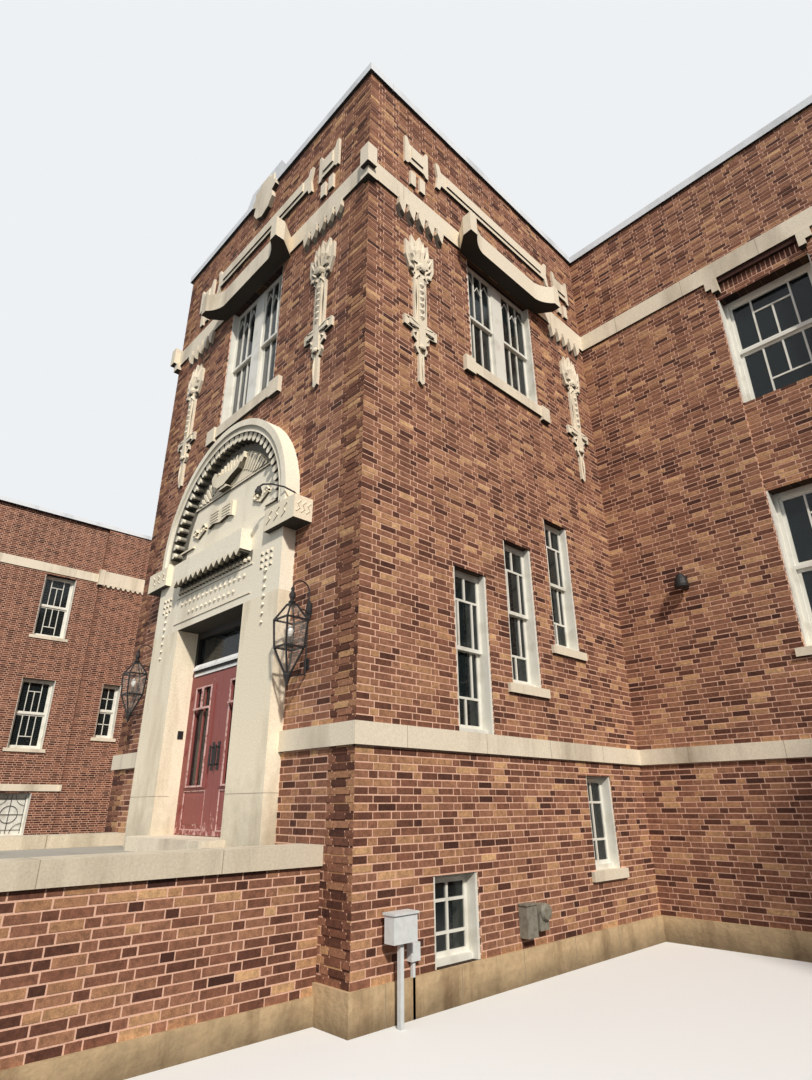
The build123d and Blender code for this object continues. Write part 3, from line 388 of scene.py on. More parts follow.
portal_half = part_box("portal_pier_right")[1][0]
bricks_over_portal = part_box("portal_imposts")[0][2] + 0.4
terrace_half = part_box("terrace_wall_right")[1][0]
deck_level = 1.19
brick_piece("bricks_tower_front", stretches(
    (0, 0, 0), along_front, front_look, -tower_half, tower_half, [
        *holes_on(tower_openings, 1, 0, wall_thickness),
        (-portal_half, portal_half, 0, bricks_over_portal), (-terrace_half, terrace_half, 0, deck_level)]))
for side, hand in ((1, "right"), (-1, "left")):
    inner, outer = sorted((side * (tower_half - wall_thickness), side * tower_half))
    brick_piece(f"bricks_tower_flank_{hand}", stretches(
        (side * tower_half, 0, 0), along_flank, (side, 0, 0), 0, tower_depth,
        holes_on(tower_openings, 0, inner, outer)))

# Main walls: their bays are set back 60 mm between the piers, under a course of bricks on end, drawn darker as
# painted shade. The course over those, close under the band, is drawn black, as the band's painted shadow.
recess_back = 0.060
recess_head = 9.53
soldier_foot = 9.37
basement_head = 2.2
(pavilion_face, wing_front, _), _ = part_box("wing_flank_right")
main_openings = loose_boxes("main_window_frames")
soldiers, shadowed_course = [], []
for side, hand in ((1, "right"), (-1, "left")):
    inner, outer = sorted((side * tower_half, side * pavilion_face))
    bay_holes = [hole for hole in holes_on(main_openings, 1, tower_depth, tower_depth + 0.6)
                 if inner < hole[0] < outer]
    tall = [hole for hole in bay_holes if hole[2] > basement_head]
    bays = sorted({(round(low, 4), round(high, 4)) for low, high, foot, head in tall})
    bay_foot = min(foot for low, high, foot, head in tall)
    recesses = [(low, high, bay_foot, band_low) for low, high in bays]
    over_bays = [(low, high, recess_head, band_low - 0.002) for low, high in bays]
    shadowed_course.append((over_bays, (0, tower_depth, 0), along_front, front_look))
    laid = stretches((0, tower_depth, 0), along_front, front_look, inner, outer, bay_holes + recesses)
    back_of_bays = ((0, tower_depth + recess_back, 0), along_front, front_look)
    for low, high in bays:
        laid.append((monk_bond(low, high, bay_foot, soldier_foot, bay_holes), *back_of_bays))
        count = round((high - low) / course_height)
        pitch = (high - low) / count
        rects = [(low + place * pitch + upright_joint / 2, low + (place + 1) * pitch - upright_joint / 2,
                  soldier_foot, recess_head) for place in range(count)]
        soldiers.append((rects, *back_of_bays))
    brick_piece(f"bricks_main_wall_{hand}", laid)
# Painted shade: the bricks on end are drawn darker than the wall's
brick_piece("bricks_on_end", soldiers, 0.2, 0.3)
# Painted shadow: the course under the band in the darkest brick
brick_piece("bricks_in_painted_shadow_under_band", shadowed_course, 0.0, 0.0)

# Wings: the flank steps out to the pavilion in its inner corner, and the front runs on to the party wall. The
# flanks are of darker, harder burnt bricks.
wing_face = 17.19
wing_wall = 0.42
wing_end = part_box("party_wall_right")[1][0]
pavilion_heights = ((base_top, band_low), (band_top, coping_low))
wing_openings = loose_boxes("wing_window_frames")
for side, hand in ((1, "right"), (-1, "left")):
    towards = (-side, 0, 0)
    inner, outer = sorted((side * (pavilion_face - 0.05), side * (wing_face + wing_wall)))
    flank_holes = holes_on(wing_openings, 0, inner, outer)
    laid = stretches((side * wing_face, 0, 0), along_flank, towards, wing_front, pavilion_foot, flank_holes)
    laid += stretches((side * pavilion_face, 0, 0), along_flank, towards, pavilion_foot, tower_depth,
                      flank_holes, pavilion_heights)
    laid += stretches((0, pavilion_foot, 0), along_front, front_look,
                      *sorted((side * pavilion_face, side * wing_face)), [], pavilion_heights)
    brick_piece(f"bricks_wing_flank_{hand}", laid, 0.28, 0.6)
    front_side = [hole for hole in holes_on(wing_openings, 1, wing_front, wing_front + wing_wall)
                  if hole[0] * side > 0]
    brick_piece(f"bricks_wing_front_{hand}", stretches(
        (0, wing_front, 0), along_front, front_look, *sorted((side * wing_face, side * wing_end)), front_side))

# Terrace: the same bricks on the outer faces of its retaining walls, laid from the footing of rough stone up to
# the caps
footing_height = 0.21
cap_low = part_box("terrace_caps")[0][2]
terrace_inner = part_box("terrace_wall_right")[0][0]
terrace_heights = ((footing_height, cap_low),)
laid = []
for side in (1, -1):
    laid += stretches((side * terrace_half, 0, 0), along_flank, (side, 0, 0), terrace_front, 0, [],
                      terrace_heights)
    laid += stretches((0, terrace_front, 0), along_front, front_look,
                      *sorted((side * terrace_inner, side * terrace_half)), [], terrace_heights)
brick_piece("bricks_terrace", laid)


# Dressed limestone: the belt, band, hoods, sills and ornaments are cream blocks, sawn and rubbed, and built in
# with the bricks. Matt, with a fine grain, grey brown streaks where rain runs down, and painted shade under
# its ledges, on every face that looks down.
def stone(name, colour, dark, grain, stain, rough, darkening=None):
    """Weathered stone: fine grain, broad stains that run down it, painted shade on faces that look down, and
    any darkening passed in.
    """
    material = new_material(name)
    geometry = add_node(material, "NewGeometry")
    streak = add_node(material, "Mapping", {"Vector": geometry, "Scale": (1.0, 1.0, 0.22)})
    _, dirt = clouds(material, streak, stain, 5.0, (0.5, 0.78), breakup=0.62)
    fine, fleck = clouds(material, geometry, grain, 4.0, (0.35, 0.65), (0.9, 1.06), 0.6)
    body = add_node(material, "Mix", {0: dirt, 6: linear(colour), 7: linear(dark)}, data_type="RGBA")
    facing = add_node(material, "SeparateXYZ", {0: geometry.outputs["Normal"]})
    # Painted shade: faces that look down are drawn nearly black
    painted_shade_under = add_node(material, "MapRange", {
        "Value": facing.outputs["Z"], "From Min": -0.8, "From Max": -0.1, "To Min": 0.04, "To Max": 1.0})
    tone = add_node(material, "Math", {0: fleck, 1: painted_shade_under}, operation="MULTIPLY")
    # A darkening passed in: real dirt on some stones, painted shade on others
    if darkening:
        tone = add_node(material, "Math", {0: tone, 1: darkening(material, geometry)}, operation="MULTIPLY")
    surface = add_node(material, "VectorMath", {0: body.outputs[2], "Scale": tone}, operation="SCALE")
    bump = add_node(material, "Bump", {"Strength": 0.45, "Distance": rough, "Height": fine})
    shader = add_node(material, "BsdfPrincipled", {
        "Base Color": surface, "Roughness": 0.85, "Specular IOR Level": 0.3, "Normal": bump})
    add_node(material, "OutputMaterial", {"Surface": shader})
    return material


limestone = stone("sawn_limestone", "#EADDC6", "#AFA18C", 0.02, 0.7, 0.002)
coat(limestone, "lower_belt", "upper_band", "window_hoods", "threshold", "tower_window_sills",
     "main_window_sills", "wing_window_sills", "back_window_sills", "parapet_ornaments", "wall_pendants",
     "band_dentils")

# Portal: blocks of the same limestone, rubbed smoother, built round the doorway and drawn paler, as painted
# light for the front faces. Dirt lies on the piers' feet, and painted shade in the hollows: behind the arch's
# teeth, round the panel, and as the cornice's shadow under the cornice.
# Painted light: the portal's stones, here and below, are paler than the belt's, for front faces that the key
# light reaches less
portal_stone = stone("rubbed_portal_limestone", "#F5E8CE", "#CDBFA6", 0.02, 0.7, 0.002)
coat(portal_stone, "portal_imposts")


def trodden_foot(material, geometry):
    """Grey brown clouds of dirt on the lowest stones, thicker towards the deck."""
    place = add_node(material, "SeparateXYZ", {0: geometry})
    _, cloud = clouds(material, geometry, 0.16, 5.0, tones=(0.0, -1.1), breakup=0.65)
    height = add_node(material, "Math", {0: place.outputs["Z"], 1: cloud}, operation="ADD")
    return add_node(material, "MapRange", {
        "Value": height, "From Min": 0.75, "From Max": 1.5, "To Min": 0.72, "To Max": 1.0})


coat(stone("rubbed_limestone_of_piers", "#F8EBD1", "#CDBA9B", 0.02, 0.5, 0.002, trodden_foot),
     "portal_pier_left", "portal_pier_right")
arch_centre = 5.13
arch_hollow = 1.4905
teeth_middle = -0.125
teeth_ends = (1.41, 1.45)
panel_reach = 1.25
cornice_foot = 4.60
cornice_half = 0.99


def reach_from_centre(material, geometry):
    """Where a point of the portal's face lies from the arch's centre, and how far."""
    flat = add_node(material, "VectorMath", {
        0: geometry, 1: (1.0, 0.0, 1.0), 2: (0.0, 0.0, -arch_centre)}, operation="MULTIPLY_ADD")
    reach = add_node(material, "VectorMath", {0: flat}, operation="LENGTH")
    return flat, reach.outputs["Value"]


def painted_shade_behind_teeth(material, geometry):
    """Painted shade on what faces inwards behind the teeth's round ends."""
    flat, reach = reach_from_centre(material, geometry)
    towards = add_node(material, "VectorMath", {0: flat}, operation="NORMALIZE")
    facing = add_node(material, "VectorMath", {
        0: towards, 1: geometry.outputs["Normal"]}, operation="DOT_PRODUCT")
    inward = add_node(material, "MapRange", {
        "Value": facing.outputs["Value"], "From Min": 0.3, "From Max": 0.6, "To Min": 1.0, "To Max": 0.0})
    place = add_node(material, "SeparateXYZ", {0: geometry})
    behind = add_node(material, "MapRange", {
        "Value": place.outputs["Y"], "From Min": teeth_middle - 0.02, "From Max": teeth_middle})
    outer = add_node(material, "MapRange", {
        "Value": reach, "From Min": teeth_ends[0], "From Max": teeth_ends[1]})
    inside = add_node(material, "Math", {0: reach, 1: arch_hollow}, operation="LESS_THAN")
    deep = add_node(material, "Math", {0: behind, 1: outer}, operation="MAXIMUM")
    for part in (inside, inward):
        deep = add_node(material, "Math", {0: deep, 1: part}, operation="MULTIPLY")
    return add_node(material, "MapRange", {"Value": deep, "To Min": 1.0, "To Max": 0.32})


def painted_shade_round_panel(material, geometry):
    """Painted shade on the panel's ground outside the scalloped edge."""
    _, reach = reach_from_centre(material, geometry)
    outside = add_node(material, "MapRange", {
        "Value": reach, "From Min": panel_reach - 0.03, "From Max": panel_reach})
    return add_node(material, "MapRange", {"Value": outside, "To Min": 1.0, "To Max": 0.2})


def painted_shadow_under_cornice(material, geometry):
    """Painted shadow of the cornice on the lintel just under it, fading down."""
    place = add_node(material, "SeparateXYZ", {0: geometry})
    near = add_node(material, "MapRange", {
        "Value": place.outputs["Z"], "From Min": cornice_foot - 0.16, "From Max": cornice_foot - 0.12})
    painted_shade_under = add_node(material, "Math", {0: place.outputs["Z"], 1: cornice_foot + 0.001}, operation="LESS_THAN")
    aside = add_node(material, "Math", {0: place.outputs["X"]}, operation="ABSOLUTE")
    within = add_node(material, "Math", {0: aside, 1: cornice_half}, operation="LESS_THAN")
    for part in (painted_shade_under, within):
        near = add_node(material, "Math", {0: near, 1: part}, operation="MULTIPLY")
    return add_node(material, "MapRange", {"Value": near, "To Min": 1.0, "To Max": 0.2})


# Painted shade behind the arch's teeth and round the panel, and the cornice's painted shadow on the lintel
for name, part, darkening in (("portal_arch", "arch", painted_shade_behind_teeth), ("tympanum", "panel", painted_shade_round_panel),
                         ("portal_lintel", "lintel", painted_shadow_under_cornice)):
    coat(stone(f"portal_limestone_of_{part}", "#FAF0DA", "#D6C9B0", 0.02, 0.7, 0.002, darkening), name)

# Terrace caps: slabs of the same limestone bedded on the walls, greyer and rougher, because rain stands on them
# and feet wear them
coat(stone("worn_cap_limestone", "#D6C9B2", "#A3967F", 0.02, 0.5, 0.003), "terrace_caps")


# Base and footing: roughly worked stone set under the bricks. Its hammered face stands out in lumps 6 cm
# wide, and it is darker from the splash of the ground.
def ground_splash(material, geometry):
    """Brown near the ground, where rain throws earth up."""
    place = add_node(material, "SeparateXYZ", {0: geometry})
    _, cloud = clouds(material, geometry, 0.4, 4.0, tones=(0.0, -0.36))
    height = add_node(material, "Math", {0: place.outputs["Z"], 1: cloud}, operation="ADD")
    return add_node(material, "MapRange", {
        "Value": height, "From Min": -0.16, "From Max": 0.06, "To Min": 0.5, "To Max": 1.0})


rough_stone = stone("hammered_base_stone", "#CDB18A", "#86694B", 0.06, 0.35, 0.02, ground_splash)
coat(rough_stone, "stone_base")
footing_proud = 0.035
footing = []
for side in (1, -1):
    footing.extend(face_blocks([(terrace_front, -0.002, 0.0, footing_height)], (side * terrace_half, 0, 0),
                               along_flank, (side, 0, 0), 0.001, footing_proud))
joined_blocks("terrace_footing", footing, rough_stone)

# Coping: blocks of white stone laid along the top of the walls, matt and bleached by the weather, with a little
# grey in broad stains
coat(stone("weathered_white_coping", "#E4E6E8", "#B4B6B8", 0.02, 0.9, 0.002), "coping")

# Floors, roof, terrace deck and steps: concrete cast in place and finished with a float, grey and a little
# blotched, with the grit of the float
coat(stone("floated_concrete", "#A9A398", "#857F75", 0.015, 0.6, 0.001), "basement_floor", "entrance_floor",
     "main_floor", "upper_floor", "roof_deck", "terrace_deck", "entrance_steps")

# Window joinery: softwood frames and sashes under thick cream gloss paint, a little yellowed, with brush
# marks along the boards. The paint's skin gives soft highlights and hides the grain.
gloss_paint = new_material("cream_gloss_paint")
geometry = add_node(gloss_paint, "NewGeometry")
brushed = add_node(gloss_paint, "Mapping", {"Vector": geometry, "Scale": (1.0, 1.0, 0.1)})
brush = add_node(gloss_paint, "TexNoise", {"Vector": brushed, "Scale": 1 / 0.008, "Detail": 2.0})
_, grime = clouds(gloss_paint, geometry, 0.25, 4.0, (0.5, 0.8))
painted = add_node(gloss_paint, "Mix", {0: grime, 6: linear("#E6E3D8"), 7: linear("#C4BEAF")}, data_type="RGBA")
bump = add_node(gloss_paint, "Bump", {"Strength": 0.15, "Distance": 0.001, "Height": brush})
shader = add_node(gloss_paint, "BsdfPrincipled", {
    "Base Color": painted.outputs[2], "Roughness": 0.38, "Normal": bump})
add_node(gloss_paint, "OutputMaterial", {"Surface": shader})
coat(gloss_paint, "tower_window_frames", "main_window_frames", "wing_window_frames", "back_window_frames")

# Glass: clear drawn sheet, puttied into the sashes, dark against the rooms. It waves a little, and a film of
# dust dulls its reflections.
drawn_glass = new_material("drawn_sheet_glass")
geometry = add_node(drawn_glass, "NewGeometry")
wave, dust = clouds(drawn_glass, geometry, 0.35, 1.0, (0.35, 0.7), (0.03, 0.12))
bump = add_node(drawn_glass, "Bump", {"Strength": 0.08, "Distance": 0.01, "Height": wave})
shader = add_node(drawn_glass, "BsdfPrincipled", {
    "Base Color": linear("#232B2C"), "Roughness": dust, "IOR": 1.52, "Alpha": 0.5, "Normal": bump})
add_node(drawn_glass, "OutputMaterial", {"Surface": shader})
coat(drawn_glass, "tower_window_glass", "main_window_glass", "wing_window_glass", "back_window_glass",
     "transom_glass", "door_glass_left", "door_glass_right")

# Tower windows: painted sashes with narrow stiles and thin glazing bars, hung between deep lining boards 0.1 m
# behind the bricks, the upper one outside the lower one. The two big windows have a wide board between their
# halves, and pointed heads in their upper sashes.
stile = 0.045
glazing_bar = 0.027
lining = 0.035
sill_board = 0.055
cover_width = 0.25
side_front, cover_front, sill_front, head_front = 0.012, 0.085, 0.075, 0.1
frame_back = 0.33
upper_front, basement_front, lower_front = 0.105, 0.13, 0.150
sash_thickness = 0.036
sheet_front, sheet_back = 0.015, 0.021
meeting_half = 0.02
rib_height = 0.022


def bar_rects(width, height, upper, pattern):
    """The stiles, rails and glazing bars of one sash, from its lower left corner."""
    rects = [(0, stile, 0, height), (width - stile, width, 0, height),
             (stile, width - stile, 0, stile), (stile, width - stile, height - stile, height)]
    half = glazing_bar / 2
    low, high = stile, height - stile
    clear = width - 2 * stile

    def upright(share, foot=low, head=high):
        middle = stile + clear * share
        rects.append((middle - half, middle + half, foot, head))

    def level(share, start=0.0, end=1.0):
        middle = low + (high - low) * share
        rects.append((stile + clear * start + half * (start > 0), stile + clear * end - half * (end < 1),
                      middle - half, middle + half))
        return middle

    if pattern == "wide_light":
        upright(0.25)
        upright(0.75)
        crossing = level(0.7 if upper else 0.3, 0.25, 0.75)
        upright(0.5, *((low, crossing - half) if upper else (crossing + half, high)))
    elif pattern == "stair":
        crossing = level(0.66 if upper else 0.36)
        below, above = (low, crossing - half), (crossing + half, high)
        for share in (0.22, 0.78):
            upright(share, *(below if upper else above))
        upright(0.5, *(above if upper else below))
    elif pattern == "small_panes":
        upright(0.5)
        level(0.5)
    elif pattern in ("three_lights", "tracery"):
        upright(1 / 3)
        upright(2 / 3)
    elif pattern == "six_panes":
        lower, higher = level(0.26), level(0.74)
        for foot, head in ((low, lower - half), (lower + half, higher - half), (higher + half, high)):
            upright(0.5, foot, head)
    return rects


def wall_blocks(rects, low, high, front, back):
    """Blocks in a tower window, between two depths behind the brick face."""
    if high[1] - low[1] < high[0] - low[0]:
        return face_blocks(rects, (0, 0, 0), along_front, front_look, -back, -front)
    side = math.copysign(1, low[0])
    return face_blocks(rects, (side * tower_half, 0, 0), along_flank, (side, 0, 0), -back, -front)


joinery, sheets = [], []
for low, high in tower_openings:
    spread = 0 if high[1] - low[1] < high[0] - low[0] else 1
    left, right, foot, head = low[spread], high[spread], low[2], high[2]
    inner_left, inner_right = left + lining, right - lining
    inner_foot, inner_head = foot + sill_board, head - lining
    boards = [(left, inner_left, foot, head, side_front), (inner_right, right, foot, head, side_front),
              (inner_left, inner_right, inner_head, head, head_front),
              (inner_left, inner_right, foot, inner_foot, sill_front)]
    spans = [(inner_left, inner_right)]
    big = right - left > 1.0
    if big:
        centre = (left + right) / 2
        cover_left, cover_right = centre - cover_width / 2, centre + cover_width / 2
        boards.append((cover_left, cover_right, inner_foot, inner_head, cover_front))
        spans = [(inner_left, cover_left), (cover_right, inner_right)]
    for *rect, front in boards:
        joinery.extend(wall_blocks([rect], low, high, front, frame_back))
    in_basement = head < basement_head
    middle = (foot + head) / 2
    sashes = [(middle - meeting_half, inner_head, True, upper_front, "tracery" if big else "stair"),
              (inner_foot, middle + meeting_half, False, lower_front, "three_lights" if big else "stair")]
    if in_basement:
        sashes = [(inner_foot, inner_head, False, basement_front, "six_panes")]
    for start, end in spans:
        for bottom, top, upper, front, pattern in sashes:
            rects = [(start + a, start + b, bottom + c, bottom + d)
                     for a, b, c, d in bar_rects(end - start, top - bottom, upper, pattern)]
            joinery.extend(wall_blocks(rects, low, high, front, front + sash_thickness))
            sheets.extend(wall_blocks([(start + stile, end - stile, bottom + stile, top - stile)],
                                      low, high, front + sheet_front, front + sheet_back))
            if pattern != "tracery":
                continue
            wide = (end - start - 2 * stile) / 3
            rise = top - stile - bottom
            for light in range(3):
                spring = bottom + rise * (0.6 if light == 1 else 0.74)
                peak = spring + rise * 0.16
                near = start + stile + light * wide
                for edge in (near, near + wide):
                    ribs = wall_blocks([(*sorted((edge, near + wide / 2)), spring, peak)],
                                       low, high, front, front + sash_thickness)
                    at_edge = np.abs(ribs[..., spread] - edge) < 1e-6
                    on_top = ribs[..., 2] > (spring + peak) / 2
                    ribs[..., 2] = np.where(at_edge, spring, peak) + rib_height * on_top
                    joinery.extend(ribs)
tower_joinery = joined_blocks("tower_window_joinery", joinery, gloss_paint)
tower_sheets = joined_blocks("tower_window_sheets", sheets, drawn_glass)
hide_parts("tower_window_frames")
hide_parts("tower_window_glass")

# Sashes of the other windows: the same painted softwood, with bars on both faces of the sheet of glass. Wide
# windows have a light between two narrow ones, and the small ones four panes.
sash_depth = 0.018
narrow_opening = 0.6
wing_reach = 0.6


def pattern_of(low, high):
    """A window's pattern, from its box: the wings' basement windows have no bars."""
    in_basement = high[2] < basement_head
    if in_basement and (abs(low[0]) > wing_face - wing_reach or low[1] < 0):
        return "plain"
    narrow = high[0] - low[0] + high[1] - low[1] < narrow_opening
    return "small_panes" if in_basement or narrow else "wide_light"


def sash_piece(name, glass, outward_of):
    """All sashes of a group of windows, as one mesh of bars round their panes."""
    panes, columns = [], {}
    for low, high in loose_boxes(glass):
        flat = 1 if high[1] - low[1] < high[0] - low[0] else 0
        column = columns.setdefault((*np.round((low + high)[:2] / 2, 2), flat), [])
        column.append(low[2])
        panes.append((low, high, flat, column))
    blocks = []
    for low, high, flat, column in panes:
        upper = sorted(column).index(low[2]) % 2 == 1
        spread = 1 - flat
        start = [0, 0, low[2]]
        start[spread] = low[spread]
        start[flat] = (low[flat] + high[flat]) / 2
        rects = bar_rects(high[spread] - low[spread], high[2] - low[2], upper, pattern_of(low, high))
        blocks.extend(face_blocks(rects, start, along_front if flat else along_flank,
                                  outward_of(low, flat), -sash_depth, sash_depth))
    joined_blocks(name, blocks, gloss_paint)


sash_piece("sashes_main", "main_window_glass", lambda low, flat: front_look)
sash_piece("sashes_wings", "wing_window_glass",
           lambda low, flat: front_look if flat else (-math.copysign(1, low[0]), 0, 0))
sash_piece("sashes_back", "back_window_glass", lambda low, flat: (0, 1, 0))


# Wing basement windows: white painted boards behind the sash, and before it a grille of thin bars round a ring,
# forged from iron under black paint, with rust where the paint has gone
def joined_shapes(name, shapes, material, body="building"):
    """One piece of several closed shapes, each given by its points and its faces."""
    points, faces = [], []
    for shape_points, shape_faces in shapes:
        start = len(points)
        points.extend(tuple(point) for point in shape_points)
        faces.extend(tuple(start + corner for corner in face) for face in shape_faces)
    return mesh_piece(name, points, faces, material, body)


def ringed(rings):
    """A closed shape through rings of as many points, with its two ends capped."""
    sides = len(rings[0])
    points = [point for ring in rings for point in ring]
    faces = [tuple(range(sides))[::-1], tuple(range(len(points) - sides, len(points)))]
    for step in range(len(rings) - 1):
        for side in range(sides):
            after = (side + 1) % sides
            faces.append((step * sides + side, step * sides + after,
                          (step + 1) * sides + after, (step + 1) * sides + side))
    return points, faces


def round_bar(route, radius, sides=8):
    """A round bar along some points."""
    route = [Vector(point) for point in route]
    rings = []
    for place, point in enumerate(route):
        heading = (route[min(place + 1, len(route) - 1)] - route[max(place - 1, 0)]).normalized()
        across = heading.cross(Vector((0.31, 0.17, 0.93))).normalized()
        upward = heading.cross(across)
        rings.append([point + radius * (math.cos(turn) * across + math.sin(turn) * upward)
                      for turn in (math.tau * side / sides for side in range(sides))])
    return ringed(rings)


black_iron = new_material("black_wrought_iron")
geometry = add_node(black_iron, "NewGeometry")
rust, rusted = clouds(black_iron, geometry, 0.05, 5.0, (0.57, 0.68), breakup=0.7)
iron = add_node(black_iron, "Mix", {0: rusted, 6: linear("#191718"), 7: linear("#4A3227")}, data_type="RGBA")
bump = add_node(black_iron, "Bump", {"Strength": 0.3, "Distance": 0.001, "Height": rust})
shader = add_node(black_iron, "BsdfPrincipled", {
    "Base Color": iron.outputs[2], "Roughness": 0.6, "Normal": bump})
add_node(black_iron, "OutputMaterial", {"Surface": shader})
frame_edge = 0.07
board_back, board_front = 0.02, 0.032
grille_depth, cross_bar_depth = 0.06, 0.061
boards, grilles = [], []
wing_panes = loose_boxes("wing_window_glass")
for low, high in wing_openings:
    if high[2] > basement_head:
        continue
    on_front = high[0] - low[0] > high[1] - low[1]
    spread = 0 if on_front else 1
    left, right = low[spread] + frame_edge, high[spread] - frame_edge
    foot, head = low[2] + frame_edge, high[2] - frame_edge
    outward = -1 if on_front else -math.copysign(1, low[0])
    glass_plane = (low[1 - spread] + high[1 - spread]) / 2
    for pane_low, pane_high in wing_panes:
        same_height = low[2] - 0.1 < pane_low[2] < high[2]
        if same_height and abs(pane_low[spread] - low[spread]) < 0.2 and pane_low[0] * low[0] > 0:
            glass_plane = (pane_low[1 - spread] + pane_high[1 - spread]) / 2

    def placed(across, depth, up):
        """A point some depth out from the glass."""
        out = glass_plane + outward * depth
        return (across, out, up) if on_front else (out, across, up)

    def arc(across, up, radius, start, end, points):
        """A curve in the grille about a centre."""
        return [placed(across + radius * math.cos(turn), grille_depth, up + radius * math.sin(turn))
                for turn in np.linspace(start, end, points)]

    boards.append(ringed([[placed(left, depth, foot), placed(right, depth, foot), placed(right, depth, head),
                           placed(left, depth, head)] for depth in (board_back, board_front)]))
    middle, level = (left + right) / 2, (foot + head) / 2
    radius = 0.3 * min(right - left, head - foot)
    inset = 0.1 * (head - foot)
    grilles.append(round_bar(arc(middle, level, radius, 0, math.tau, 21), 0.009, 6))
    for across in (left + 0.012, middle, right - 0.012):
        grilles.append(round_bar([placed(across, grille_depth, up) for up in (foot, head)], 0.009, 6))
    for up in (foot + inset, head - inset, level):
        grilles.append(round_bar([placed(across, cross_bar_depth, up) for across in (left, right)], 0.008, 6))
    for quarter, (across, up) in enumerate(((left, foot), (right, foot), (right, head), (left, head))):
        start = quarter * math.pi / 2
        grilles.append(round_bar(arc(across, up, 1.2 * radius, start, start + math.pi / 2, 9), 0.007, 6))
joined_shapes("wing_basement_boards", boards, gloss_paint)
joined_shapes("wing_basement_grilles", grilles, black_iron)

# Pavilion band: a row of pointed teeth, cut in the limestone of the belt, under the deeper band on each wing's
# corner
tooth = ((-0.07, 0.0), (0.07, 0.0), (0.045, -0.06), (0.0, -0.09), (-0.045, -0.06))
tooth_pitch = 0.19
tooth_proud = 0.055
band_foot = 9.54
teeth = []
for side in (1, -1):
    ends = sorted((side * pavilion_face, side * (pavilion_face - tooth_proud)))
    for count in range(9):
        middle = pavilion_foot + 0.1 + tooth_pitch * count
        teeth.append(ringed([[(x, middle + across, band_foot + up) for across, up in tooth] for x in ends]))
joined_shapes("pavilion_band_teeth", teeth, limestone)

# Doors: pine leaves and frame under dull red paint, brushed on along the grain, chalky and worn through to a
# paler coat in patches, most of all where feet kick them. The frame round the transom is drawn nearly black,
# as painted shade.
red_paint = new_material("worn_red_door_paint")
place = add_node(red_paint, "TexCoord")
patches = add_node(red_paint, "TexNoise", {
    "Vector": place.outputs["Object"], "Scale": 1 / 0.06, "Detail": 6.0, "Roughness": 0.7})
height = add_node(red_paint, "SeparateXYZ", {0: place.outputs["Generated"]})
kicked = add_node(red_paint, "MapRange", {
    "Value": height.outputs["Z"], "From Max": 0.13, "To Min": 0.15, "To Max": 0.0})
wear = add_node(red_paint, "Math", {0: patches, 1: kicked}, operation="ADD")
worn = add_node(red_paint, "MapRange", {"Value": wear, "From Min": 0.64, "From Max": 0.7})
red = add_node(red_paint, "Mix", {0: worn, 6: linear("#8A4842"), 7: linear("#CDA39D")}, data_type="RGBA")
along_grain = add_node(red_paint, "Mapping", {"Vector": place.outputs["Object"], "Scale": (1.0, 1.0, 0.06)})
grain = add_node(red_paint, "TexNoise", {"Vector": along_grain, "Scale": 1 / 0.006, "Detail": 2.0})
bump = add_node(red_paint, "Bump", {"Strength": 0.3, "Distance": 0.001, "Height": grain})
shader = add_node(red_paint, "BsdfPrincipled", {
    "Base Color": red.outputs[2], "Roughness": 0.55, "Normal": bump})
add_node(red_paint, "OutputMaterial", {"Surface": shader})
coat(red_paint, "door_leaf_left", "door_leaf_right")
frame_paint = red_paint.copy()
frame_paint.name = "red_frame_paint_with_painted_shade"
frame_shader = [node for node in frame_paint.node_tree.nodes if node.type == "BSDF_PRINCIPLED"][0]
paint_colour = frame_shader.inputs["Base Color"]
geometry = add_node(frame_paint, "NewGeometry")
place = add_node(frame_paint, "SeparateXYZ", {0: geometry})
# Painted shade: the frame is drawn nearly black from just above the transom bar upwards
darkening = add_node(frame_paint, "MapRange", {"Value": place.outputs["Z"], "From Min": 3.43, "From Max": 3.47})
paint_with_shade = add_node(frame_paint, "Mix", {
    0: darkening, 6: paint_colour.links[0].from_socket, 7: linear("#1D1815")}, data_type="RGBA")
frame_paint.node_tree.links.new(paint_with_shade.outputs[2], paint_colour)
coat(frame_paint, "door_frame")


# Lanterns: wrought iron cages on brackets, screwed beside the doorway, with thin clear glass in the four sides,
# the roof and the tapered foot, dusty and so pale against the light. Inside stands a candle tube with a bulb of
# milk glass, and on the roof an iron knob.
def turned(profile, centre, sides=20):
    """A shape turned about an upright axis, from (radius, height) pairs going up."""
    centre = Vector(centre)
    return ringed([[centre + Vector((radius * math.cos(turn), radius * math.sin(turn), height))
                    for turn in (math.tau * side / sides for side in range(sides))]
                   for radius, height in profile])


def moved(shape, put):
    """A shape with each of its points put in another place by a function."""
    points, faces = shape
    return [put(*point) for point in points], faces


def scroll(radius, wound, tightness, points):
    """The (across, up) pairs of a scroll that winds inwards about its centre."""
    return [(radius * (1 - turn / tightness) * math.cos(turn), radius * (1 - turn / tightness) * math.sin(turn))
            for turn in np.linspace(0, wound, points)]


def patchy_paint(name, colour, patch, roughness, size, detail, edges=(0.0, 1.0), breakup=0.5, rides=False):
    """A finish of one colour with patches of another, which keep to the piece where it rides a door."""
    material = new_material(name)
    place = add_node(material, "TexCoord").outputs["Object"] if rides else add_node(material, "NewGeometry")
    _, patches = clouds(material, place, size, detail, edges, breakup=breakup)
    mixed = add_node(material, "Mix", {0: patches, 6: linear(colour), 7: linear(patch)}, data_type="RGBA")
    shader = add_node(material, "BsdfPrincipled", {"Base Color": mixed.outputs[2], "Roughness": roughness})
    add_node(material, "OutputMaterial", {"Surface": shader})
    return material


